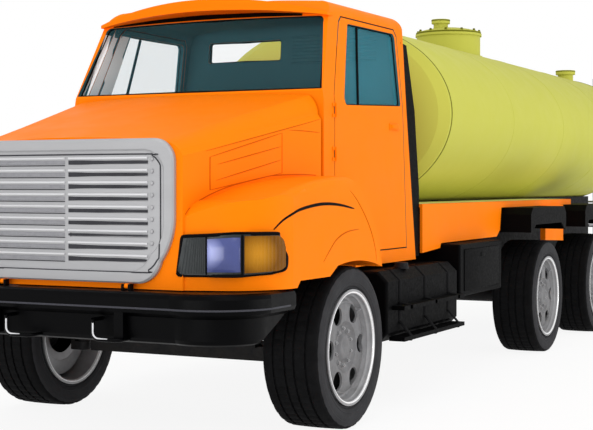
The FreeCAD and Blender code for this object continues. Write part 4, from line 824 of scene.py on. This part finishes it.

# the tow hooks: a bright line along each bar's front edge, a painted highlight on the side that
# faces forward
HOOK_R, HOOK_X, HOOK_SPREAD, HOOK_BEND = 0.011, (-0.220, 0.375), 0.085, 0.042
hook_y, hook_low = lo("front_bumper").y + HOOK_R, lo("front_bumper").z + 0.020
for n, x in enumerate(HOOK_X):
    path, ups = [], []
    for k in range(15):
        t = math.radians(90 * unit((k - 4) / 6))
        bx, bz = HOOK_BEND * (1 - math.cos(t)), HOOK_BEND * (1 - math.sin(t))
        axis = Vector((x - HOOK_SPREAD + bx + 0.015 * max(0, k - 10), hook_y,
                       hook_low + bz + 0.012 * max(0, 4 - k)))
        ups.append(Vector((0.6 * math.cos(t), -0.8, 0.6 * math.sin(t))))
        path.append(axis + ups[-1] * HOOK_R)
    line_piece("tow_hook_%d" % (n + 1), "chassis", "hook", path, ups, bead_section(0.010, 0.0014),
               taper=lambda t: 1.0 - 0.5 * t ** 3)

# ---- grille
g_lo, g_hi = lo("grille"), hi("grille")
face_y = hit("grille", (0.0, g_lo.y - 1, 1.588), REARWARD)[0].y
SLOT_TOP, PITCH, COUNT, THIN_SLOT, CUTS = 1.622, 0.068, 9, 6, 24
BLADE = [(-0.007, -0.004), (-0.0065, 0.003), (-0.003, 0.006), (0.003, 0.006), (0.0065, 0.003),
         (0.007, -0.004)]
THIN_BLADE = [(-0.003, -0.003), (-0.0025, 0.003), (0.0025, 0.003), (0.003, -0.003)]
BOLT = [(-0.002, 0.013), (0.004, 0.013), (0.008, 0.0105), (0.010, 0.005), (0.0102, 0.0005)]
for side, s in SIGN.items():
    x0, x1 = (0.012, 0.545) if s > 0 else (-0.545, -0.012)

    def across(y, z):
        return [Vector((x0 + (x1 - x0) * i / CUTS, y, z(i / CUTS))) for i in range(CUTS + 1)]

    def blade(sh, z, section, mat):
        sh.sweep(across(face_y - 0.001, lambda t: z), section, FORWARD, mat=mat)
    sh = Shell()
    for k in range(COUNT):
        mid_z = SLOT_TOP - k * PITCH
        # the bar over each slot: a long blade with a rolled front edge
        blade(sh, mid_z + 0.024, BLADE, 0)
        if s > 0:
            # a dark sheet in each slot, painted shade for the recess; it narrows to the outside,
            # with one soft wave along its lower lip
            full = 0.55 if k == THIN_SLOT else 1.0
            sh.grid([across(face_y - (0.0018 if v == 0 else 0.0012), lambda t: mid_z + v * (
                (0.012 - 0.0055 * t) * full * (1 + 0.12 * math.sin(t * 9 + k))))
                for v in (-1, 0, 1)], 1)
        else:
            # on this half a grey sheet fills each slot, a painted reflection, with a thin dark
            # blade across it
            sh.grid([across(face_y - (0.0018 if v == 0 else 0.001), lambda t: mid_z + 0.010 * v)
                     for v in (-1, 0, 1)], 2)
            blade(sh, mid_z - 0.017, THIN_BLADE, 1)
    sh.done("grille_bars_" + side, "hood", ["highlight_and_shade_bands", "slot", "mesh"], 40)
    # bolt heads beside the bank of slots
    sh = Shell()
    for k in range(COUNT):
        sh.lathe(BOLT, (s * 0.572, face_y, 1.638 - k * 0.0665), FORWARD, 16)
    sh.done("grille_bolts_" + side, "hood", ["grille"], 35)

# a dark line inside the rim, round the pressed plate
inner = []
gx, gt, gb = g_hi.x - 0.088, g_hi.z - 0.088, g_lo.z + 0.062
for cx, cz, a0, r in ((gx - 0.09, gt - 0.09, 0, 0.09), (-(gx - 0.09), gt - 0.09, 90, 0.09),
                      (-(gx - 0.13), gb + 0.13, 180, 0.13), (gx - 0.13, gb + 0.13, 270, 0.13)):
    for k in range(5):
        t = math.radians(a0 + 22.5 * k)
        inner.append(Vector((cx + r * math.cos(t), 0, cz + r * math.sin(t))))
path, ups = laid("grille", inner, lambda p: (p.x, g_lo.y - 1, p.z), REARWARD, 160, True)
line_piece("grille_inner_line", "hood", "slot", path, FORWARD,
           [(-0.0045, -0.002), (-0.004, 0.0016), (0.004, 0.0016), (0.0045, -0.002)],
           closed=True, smooth=40)

# ---- cab
c_lo, c_hi = lo("cab_shell"), hi("cab_shell")
w_lo, w_hi, w_mid = lo("windshield"), hi("windshield"), mid("windshield")
cab_heart = Vector((0, (c_lo.y + c_hi.y) / 2 - 0.1, 1.85))
door_mid = {side: mid("door_" + side) for side in SIGN}


def lining(node, body, name, test, key="trim", lift=0.0016, reach=2.0):
    """A thin trim that follows some faces of a CAD node, kept within reach of the centre line."""
    mesh = frame["nodes"][node].data
    sh = Shell()
    for p in mesh.polygons:
        if test(p.center, p.normal):
            spots = [mesh.vertices[i].co + p.normal * lift for i in p.vertices]
            sh.face([(min(max(q.x, -reach), reach), q.y, q.z) for q in spots])
    sh.done(name, body, [key], 30, weld=False)


def far_pillar(c, n):
    """The passenger's thin front pillar and the door frame beside it, as seen through the glass."""
    return (-0.93 < c.x < -0.80 and 2.10 < c.z < 2.5 and Y(0.12) < c.y < Y(0.66)
            and -0.5 < n.x and n.y < 0.5 and (n.x < 0.5 or c.x > -0.895)
            and not (n.y < -0.7 and n.dot(c - w_mid) > 0))


def in_cab(c, n):
    """Faces that look into the cab, and the reveals of the door openings."""
    if abs(c.x) > 0.89 and n.x * c.x > 0.4:
        return False
    if c.z > 1.0 and n.dot((cab_heart - c).normalized()) > 0.12:
        return True
    if all(w_lo[i] - 0.05 < c[i] < w_hi[i] + 0.05 for i in range(3)):
        if n.dot((w_mid - c).normalized()) > 0.3 or n.y < -0.7 and n.dot(c - w_mid) < 0:
            return True
    door = door_mid["left" if c.x > 0 else "right"]
    return abs(c.x) > 0.78 and c.z > 1.1 and abs(n.x) < 0.6 and n.dot(door - c) > 0.15


lining("cab_shell", "chassis", "cab_lining", in_cab)
lining("cab_shell", "chassis", "pillar_lining", far_pillar, "pale_trim", 0.0030, 0.914)
for side, s in SIGN.items():
    door, g0, g1 = "door_" + side, lo("door_glass_" + side), hi("door_glass_" + side)

    def in_door(c, n):
        reveal = (abs(n.x) < 0.7 and g0.y - 0.03 < c.y < g1.y + 0.03
                  and g0.z - 0.03 < c.z < g1.z + 0.03)
        return n.x * s < -0.3 or reveal

    def on_edge(c, n):
        return (abs(n.x) < 0.7 and abs(c.x) < 0.93 and c.z > 2.05 and c.y < Y(1.0)
                and not in_door(c, n))
    lining(door, door, "door_lining_" + side, in_door)
    lining(door, door, "door_edge_seal_" + side, on_edge, "rubber")
lining("side_skirts", "chassis", "skirt_ledge", lambda c, n: n.z > 0.9 and c.z > 1.3, "ledge",
       reach=0.93)
lining("door_right", "door_right", "door_pillar_lining", far_pillar, "pale_trim", 0.0030)


def inner_patch(name, body, node, first, last, top, foot=2.12):
    """Trim inside the passenger's pillar between two edges, each a station and how it leans."""
    sh = Shell()
    rows = []
    for k in range(13):
        rise = (top - foot) * k / 12
        a, b = first[0] + first[1] * rise, last[0] + last[1] * rise
        found = [hit(node, (-0.5, Y(a + (b - a) * j / 6), foot + rise), (-1, 0, 0))
                 for j in range(7)]
        rows.append([q[0] + Vector((0.0045, 0, 0)) if q and abs(q[0].x) < 0.96 else None
                     for q in found])
    for r0, r1 in zip(rows, rows[1:]):
        for j in range(6):
            quad = [r0[j], r0[j + 1], r1[j + 1], r1[j]]
            if all(quad) and max(abs(q.x - quad[0].x) for q in quad) < 0.02:
                sh.face(quad)
    sh.done(name, body, ["pale_trim"], 40)


inner_patch("pillar_trim", "chassis", "cab_shell", (0.190, 0.46), (0.340, 0.453), 2.54)
inner_patch("door_frame_trim", "door_right", "door_right", (0.29, 0.46), (0.455, 0.40), 2.56)

# a folded blind over the driver's rear pane, between two thin rods
foot, head = (hit("cab_shell", (0.75, cab_heart.y, z), REARWARD)[0].y for z in (2.30, 2.40))


def blind_row(z, off):
    y = foot + (head - foot) / 0.10 * (z - 2.30) - off
    return [Vector((0.035 + 0.69 * j / 10, y, z)) for j in range(11)]


sh = Shell()
sh.grid([blind_row(2.405 + 0.205 * k / 48, 0.007 + 0.0025 * math.sin(k * math.pi / 3))
         for k in range(49)])
for z in (2.408, 2.607):
    sh.sweep(blind_row(z, 0.012), circle(8, 0.006))
sh.done("rear_blind", "chassis", ["trim"], 50)


def seal(name, body, node, outline, start_of, way, width, height, n, inset):
    """Rubber round a pane, a little inside its outline."""
    u, v = (sum(p[i] for p in outline) / len(outline) for i in (0, 1))
    ring = [Vector(p + (0,)) for p in outline]
    inside = [p + (Vector((u, v, 0)) - p).normalized() * inset
              for p in even(ring + ring[:1], n, True)]
    path = traced(node, [(start_of(p.x, p.y), way) for p in inside])[0]
    line_piece(name, body, "rubber", path, tuple(-w for w in way),
               bead_section(width, height), closed=True, smooth=40)


BAR = [(-0.013, -0.002), (-0.012, 0.006), (-0.005, 0.009), (0.005, 0.009), (0.012, 0.006),
       (0.013, -0.002)]
LEVER = [(-0.068, 0.004), (-0.062, 0.016), (-0.03, 0.021), (0.03, 0.021), (0.062, 0.016),
         (0.068, 0.004)]
seal("windshield_seal", "chassis", "windshield", hull_outline("windshield", 0, 2),
     lambda u, v: (u, c_lo.y - 1, v), REARWARD, 0.013, 0.006, 200, 0.006)
for side, s in SIGN.items():
    door, node, way = "door_" + side, "door_glass_" + side, (-s, 0, 0)
    seal("door_window_seal_" + side, door, node, hull_outline(node, 1, 2),
         lambda u, v: (s * 2, u, v), way, 0.009, 0.006, 150, 0.005)
    # the fixed quarter pane's upright, leaning back towards its top
    z0, tall = lo(node).z + 0.012, hi(node).z - lo(node).z - 0.026
    path = traced(node, [((s * 2, Y(0.711 + 0.237 * tall * k / 12), z0 + tall * k / 12), way)
                         for k in range(13)])[0]
    line_piece("quarter_bar_" + side, door, "rubber", path, (s, 0, 0), BAR, smooth=40)
    # door handle: a flush cup and a lever in the body's colour
    sh = Shell()
    y, z = Y(1.30), 1.905
    x = hit(door, (s * 2, y, z), way)[0].x
    sh.block((x - s * 0.002, y - 0.085, z - 0.024), (x + s * 0.006, y + 0.085, z + 0.024), 0.003)
    sh.sweep(curve([Vector((x + s * off, y + a, z)) for a, off in LEVER], 24),
             [(-0.004, -0.009), (-0.004, 0.009), (0.004, 0.011), (0.004, -0.011)], UP)
    sh.done("door_handle_" + side, door, ["orange"], 35)
for side, s in SIGN.items():
    edge = hull_outline("rear_window", 0, 2, lambda co: co.x * s > 0)
    seal("rear_window_seal_" + side, "chassis", "rear_window", edge,
         lambda u, v: (u, c_hi.y + 1, v), FORWARD, 0.014, 0.010, 100, 0.006)
    seal("rear_window_trim_" + side, "chassis", "rear_window", edge,
         lambda u, v: (u, cab_heart.y, v), REARWARD, 0.014, 0.008, 100, 0.006)

# the black band under the visor, above the glass, is painted shadow where the visor's shade falls
# on the header; it narrows towards the driver's side
sh = Shell()
x0, x1 = w_lo.x * 0.86, w_hi.x * 0.74
rows = []
for k in range(4):
    row = []
    for j in range(41):
        t = j / 40
        x = x0 + (x1 - x0) * t
        z = w_hi.z + 0.006 + (0.046 - 0.020 * t) * k / 3 - 0.026 * abs(x / w_hi.x) ** 2
        spot, up = hit(("cab_shell", "windshield"), (x, c_lo.y - 1, z), REARWARD)
        row.append(spot + up * 0.002)
    rows.append(row)
sh.grid(rows)
sh.done("visor_shadow_band", "chassis", ["rubber"], 50)

# dashboard: a hooded cluster and four vents
dash = hi("dashboard")
sh = Shell()
sh.block((0.22, dash.y - 0.17, dash.z - 0.10), (0.64, dash.y - 0.08, dash.z - 0.004), 0.02)
sh.done("dash_cluster", "chassis", ["dash"], 35)
sh = Shell()
for x in (-0.60, -0.30, 0.0, 0.74):
    for k in range(4):
        z = 1.800 + k * 0.016
        sh.block((x - 0.055, dash.y - 0.030, z), (x + 0.055, dash.y - 0.012 - 0.004 * k, z + 0.006),
                 0.0015)
sh.done("dash_vents", "chassis", ["plastic"], 35)

# ---- seats
CLOTH_FRAMES, CLOTH_REACH = 12, 0.012


def stuff(o, a, b):
    """Blows the cloth up a little with a short simulation, held inside the box from a to b."""
    cloth = o.modifiers.new("stuffing", "CLOTH")
    cloth.settings.use_pressure = True
    cloth.settings.uniform_pressure_force = 1.2
    cloth.settings.effector_weights.gravity = 0
    cloth.settings.quality = 4
    before = [v.co.copy() for v in o.data.vertices]
    for f in range(1, CLOTH_FRAMES + 1):
        scene.frame_set(f)
    graph = bpy.context.evaluated_depsgraph_get()
    after = [v.co.copy() for v in o.evaluated_get(graph).data.vertices]
    o.modifiers.remove(cloth)
    for v, p, q in zip(o.data.vertices, before, after):
        d = q - p
        if d.length > CLOTH_REACH:
            d = d.normalized() * CLOTH_REACH
        v.co = Vector(min(max((p + d)[i], a[i]), b[i]) for i in range(3))
    scene.frame_set(1)


def cushion(name, a, b, seams, n=22):
    """A stuffed cushion with stitched channels, in the box from a to b; n faces along a side."""
    a, b = Vector(a), Vector(b)
    size = b - a
    thin = min(range(3), key=lambda i: size[i])
    u_ax, v_ax = [i for i in range(3) if i != thin]

    def spot(u, v, w):
        """u, v in -1..1 over the face, w in -1..1 through it; sides pull in mid-way."""
        pull = 0.965 + 0.035 * (abs(u) ** 6 + abs(v) ** 6) / 2
        soft = (1 - abs(u) ** 7) ** 0.45 * (1 - abs(v) ** 7) ** 0.45
        channel = 1.0 - 0.10 * max(0.0, math.cos(u * math.pi * seams)) ** 10 * (1 - abs(v) ** 8)
        p = [(a[i] + b[i]) / 2 for i in range(3)]
        p[u_ax] += size[u_ax] / 2 * u * pull
        p[v_ax] += size[v_ax] / 2 * v * pull
        p[thin] += size[thin] / 2 * w * (0.40 + 0.60 * soft * channel)
        return p
    sh = Shell()
    steps = [2 * i / n for i in range(n)]
    for w in (1, -1):
        sh.grid([[spot(u - 1, v - 1, w) for u in steps + [2]] for v in steps + [2]])
    sh.grid([[spot(t - 1, -1, w) for t in steps] + [spot(1, t - 1, w) for t in steps]
             + [spot(1 - t, 1, w) for t in steps] + [spot(-1, 1 - t, w) for t in steps]
             for w in (1, 0.33, -0.33, -1)], close_u=True)
    o = sh.done(name, "chassis", ["fabric"], 60)
    stuff(o, a, b)
    sub = o.modifiers.new("smooth", "SUBSURF")
    sub.levels = sub.render_levels = 1
    return o


s_lo, s_hi = lo("seats"), hi("seats")
SEAT_W, BASE_TOP, SEAT_TOP = 0.48, 1.330, 1.450
y, top = s_lo.y, s_hi.z
for side, x0 in (("left", s_hi.x - SEAT_W), ("right", s_lo.x)):
    x1 = x0 + SEAT_W
    o = cushion("seat_cushion_" + side, (x0, y, BASE_TOP), (x1, y + 0.50, SEAT_TOP), 3)
    if side == "left":
        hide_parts("seats")
    cushion("seat_back_" + side, (x0, y + 0.475, SEAT_TOP - 0.008), (x1, y + 0.588, top - 0.20), 3)
    cushion("head_rest_" + side, (x0 + 0.09, y + 0.485, top - 0.165),
            (x1 - 0.09, y + 0.580, top - 0.006), 1)
    sh = Shell()
    for off in (-0.07, 0.07):
        post = [Vector(((x0 + x1) / 2 + off, y + 0.532, top - drop)) for drop in (0.24, 0.15)]
        sh.sweep(post, circle(12, 0.006))
    sh.block((x0 + 0.05, y + 0.04, s_lo.z), (x1 - 0.05, y + 0.46, BASE_TOP - 0.002), 0.02)
    sh.done("seat_frame_" + side, "chassis", ["plastic"], 35)

# ---- tank
axis_z = mid("tank").z
for name, back, wide, tall, key in (("front", 2.238, 0.020, 0.0035, "khaki_line"),
                                    ("one", 3.82, 0.012, 0.0025, "khaki"),
                                    ("two", 5.42, 0.012, 0.0025, "khaki"),
                                    ("three", 7.02, 0.012, 0.0025, "khaki"),
                                    ("rear", 8.562, 0.010, 0.0035, "khaki_line")):
    ways = [Vector((x, 0, z)) for x, z in circle(160, 1.0)]
    path, ups = traced("tank", [(Vector((0, Y(back), axis_z)) + way * 3, -way) for way in ways])
    line_piece("tank_seam_" + name, "chassis", key, path, ups, bead_section(wide, tall),
               closed=True)

# the manhole: clamp bolts on the lid's flange, with none beside the hinge, and a weld at its foot
m_lo, m_hi = lo("dome_lid"), hi("dome_lid")
dome_y, dome_r = Y(5.030), m_hi.x
CLAMP = [(-0.002, 0.016), (0.004, 0.016), (0.005, 0.012), (0.016, 0.012), (0.018, 0.006),
         (0.0185, 0.0005)]
sh = Shell()
for k in range(12):
    t = 2 * math.pi * (k + 0.5) / 12
    if math.sin(t) < 0.88:
        start = (math.cos(t) * (dome_r - 0.018), dome_y + math.sin(t) * (dome_r - 0.018), 4)
        sh.lathe(CLAMP, hit("dome_lid", start, DOWN)[0], UP, 6)
sh.done("lid_bolts", "lid", ["khaki_line"], 30)
path, ups = traced("tank", [((x, dome_y + y, 4), DOWN) for x, y in circle(72, dome_r + 0.004)])
line_piece("dome_weld", "chassis", "khaki", path, ups, bead_section(0.022, 0.009), closed=True)
turned("lid_gasket", "lid", ["khaki_line"],
       [(0, dome_r + 0.0005), (0.003, dome_r + 0.0015), (0.006, dome_r + 0.0005)],
       (0, dome_y, m_lo.z + 0.0015), UP, 72, 50)


def rim_line(name, body, node, x, y, z):
    """A dark seam round the top edge of a round cap, at its measured radius."""
    r = y - hit(node, (x, y - 2.0, z), REARWARD)[0].y
    turned(name, body, ["khaki_line"], [(-0.006, r - 0.001), (-0.006, r + 0.001), (0, r + 0.0018),
                                        (0.006, r + 0.001), (0.006, r - 0.001)],
           (x, y, z), UP, 64, 50)


rim_line("lid_edge_line", "lid", "dome_lid", 0, dome_y, m_lo.z + 0.010)
rim_line("vent_cap_line", "lid", "dome_lid", -0.040, dome_y - 0.110, m_hi.z - 0.010)
far_top = hit("dome", (0.350, Y(8.050), 4), DOWN)[0].z
rim_line("far_cap_line", "chassis", "dome", 0.350, Y(8.050), far_top - 0.010)

# ---- fuel tanks and boxes
CAP = [(-0.004, 0.052), (0.012, 0.052), (0.016, 0.048), (0.034, 0.047), (0.038, 0.042),
       (0.0385, 0.001)]
fuel_x = hi("fuel_tanks").x
for side, s in SIGN.items():
    sh = Shell()
    for back in (0.93, 1.40, 1.87):
        path, ups = [], []
        for k in range(41):
            t = -0.42 * math.pi + 0.84 * math.pi * k / 40
            way = Vector((s * math.cos(t), 0, math.sin(t)))
            q = hit("fuel_tanks", Vector((s * (fuel_x - 0.25), Y(back), 0.70)) + way * 1.2, -way)
            if q and abs(q[0].x) > 0.62 and q[0].z > 0.40:
                path.append(q[0])
                ups.append(q[1])
        sh.sweep(path, bead_section(0.045, 0.006), ups)
    sh.done("tank_straps_" + side, "chassis", ["rubber"], 40)
    seat = hit("fuel_tanks", (s * (fuel_x - 0.17), Y(1.16), 3), DOWN)[0]
    turned("fuel_cap_" + side, "chassis", ["cast"], CAP, seat, UP, 40, 35,
           wave=lambda i, j: 0.002 if i in (2, 3) and j % 4 == 0 else 0)
    # tool box door: a raised panel with a latch
    x = hit("side_boxes", (s * 3, Y(2.75), 0.84), (-s, 0, 0))[0].x
    sh = Shell()
    sh.block((x - s * 0.002, Y(2.30), 0.680), (x + s * 0.006, Y(3.14), 1.000), 0.004)
    sh.block((x, Y(2.68), 0.93), (x + s * 0.010, Y(2.78), 0.965), 0.003)
    sh.done("box_door_" + side, "chassis", ["plastic"], 35)

# ---- tail
l_lo, l_hi = lo("tail_lamps"), hi("tail_lamps")
sh = Shell()
for inner in (l_hi.x - 0.28, -l_hi.x):
    for k in range(7):
        x = inner + 0.02 + k * 0.04
        q = hit("tail_lamps", (x, l_hi.y + 1, mid("tail_lamps").z), FORWARD)
        if q and q[0].y > l_lo.y:
            sh.sweep([Vector((x, q[0].y, z)) for z in (l_lo.z + 0.014, l_hi.z - 0.014)],
                     [(-0.004, -0.001), (0, 0.004), (0.004, -0.001)], REARWARD)
sh.done("tail_lens_ribs", "chassis", ["red"], 50)

# ---- stage
def seen(nt):
    """1 where the camera sees a thing itself, mirrored or through glass, and 0 for its light."""
    ray = add(nt, "LightPath").outputs
    direct = calc(nt, "MAXIMUM", ray["Is Camera Ray"], ray["Is Glossy Ray"])
    return calc(nt, "MAXIMUM", direct, ray["Is Transmission Ray"])


FLOOR_HALF = 60.0
PALE = 0.90                            # how far the floor's shadow is washed out to white
AMBIENT = 0.80                         # how much of the white surroundings lights the truck
floor_mesh = bpy.data.meshes.new("floor")
bm = bmesh.new()
bmesh.ops.create_grid(bm, x_segments=1, y_segments=1, size=FLOOR_HALF)
bm.to_mesh(floor_mesh)
bm.free()
floor = bpy.data.objects.new("floor", floor_mesh)
scene.collection.objects.link(floor)
fm, nt, b = tree("floor_pale")
put(b, {"Roughness": 0.95, "Specular IOR Level": 0.0,
        "Base Color": mixed(nt, noise(nt, 0.6, 3), srgb(252, 252, 252), srgb(255, 255, 255))})
white = add(nt, "Emission", {"Strength": 1.0})
blend = add(nt, "MixShader", {0: ramp(nt, seen(nt), 0.0, 1.0, 0.0, PALE), 1: b.outputs[0],
                              2: white.outputs[0]})
put(nt.nodes["Material Output"], {"Surface": blend.outputs[0]})
floor_mesh.materials.append(fm)

scene.world = world = bpy.data.worlds.new("studio")
world.use_nodes = True
nt = world.node_tree
nt.nodes.clear()
dim, full = (add(nt, "Background", {"Color": (1, 1, 1, 1), "Strength": level}).outputs[0]
             for level in (AMBIENT, 1.0))
blend = add(nt, "MixShader", {0: seen(nt), 1: dim, 2: full})
add(nt, "OutputWorld", {"Surface": blend.outputs[0]})


def lamp(name, pos, target, wide, tall, watts):
    data = bpy.data.lights.new(name, "AREA")
    data.shape = "RECTANGLE"
    data.size, data.size_y = wide, tall
    data.energy = watts
    o = bpy.data.objects.new(name, data)
    scene.collection.objects.link(o)
    o.location = pos
    o.rotation_euler = (Vector(target) - Vector(pos)).to_track_quat("-Z", "Y").to_euler()


lamp("key", (8.0, Y(-7.0), 10.0), (0, Y(2.5), 1.3), 8, 8, 280)
lamp("over", (0.5, Y(-2.6), 8.0), (0, Y(-0.9), 1.5), 5, 5, 90)
lamp("low_side", (14.0, Y(5.5), 0.9), (0, Y(5.0), 1.6), 14, 2, 560)
lamp("front", (-1.0, Y(-13.0), 1.1), (0, Y(0), 1.1), 9, 2, 330)

# ---- camera
CAM_RIGHT, CAM_AHEAD, CAM_UP = 4.600, 7.5555, 1.495
TURN = math.radians(26.5)
SENSOR, LENS, SHIFT = 36.0, 81.95615514, -0.05059022
data = bpy.data.cameras.new("camera")
data.sensor_width, data.lens, data.shift_y, data.clip_end = SENSOR, LENS, SHIFT, 300
scene.camera = cam = bpy.data.objects.new("camera", data)
scene.collection.objects.link(cam)
cam.location = (CAM_RIGHT, Y(-CAM_AHEAD), CAM_UP)
look = Vector((-math.sin(TURN), math.cos(TURN), 0))
cam.rotation_euler = look.to_track_quat("-Z", "Y").to_euler()

scene.view_settings.view_transform = "Standard"
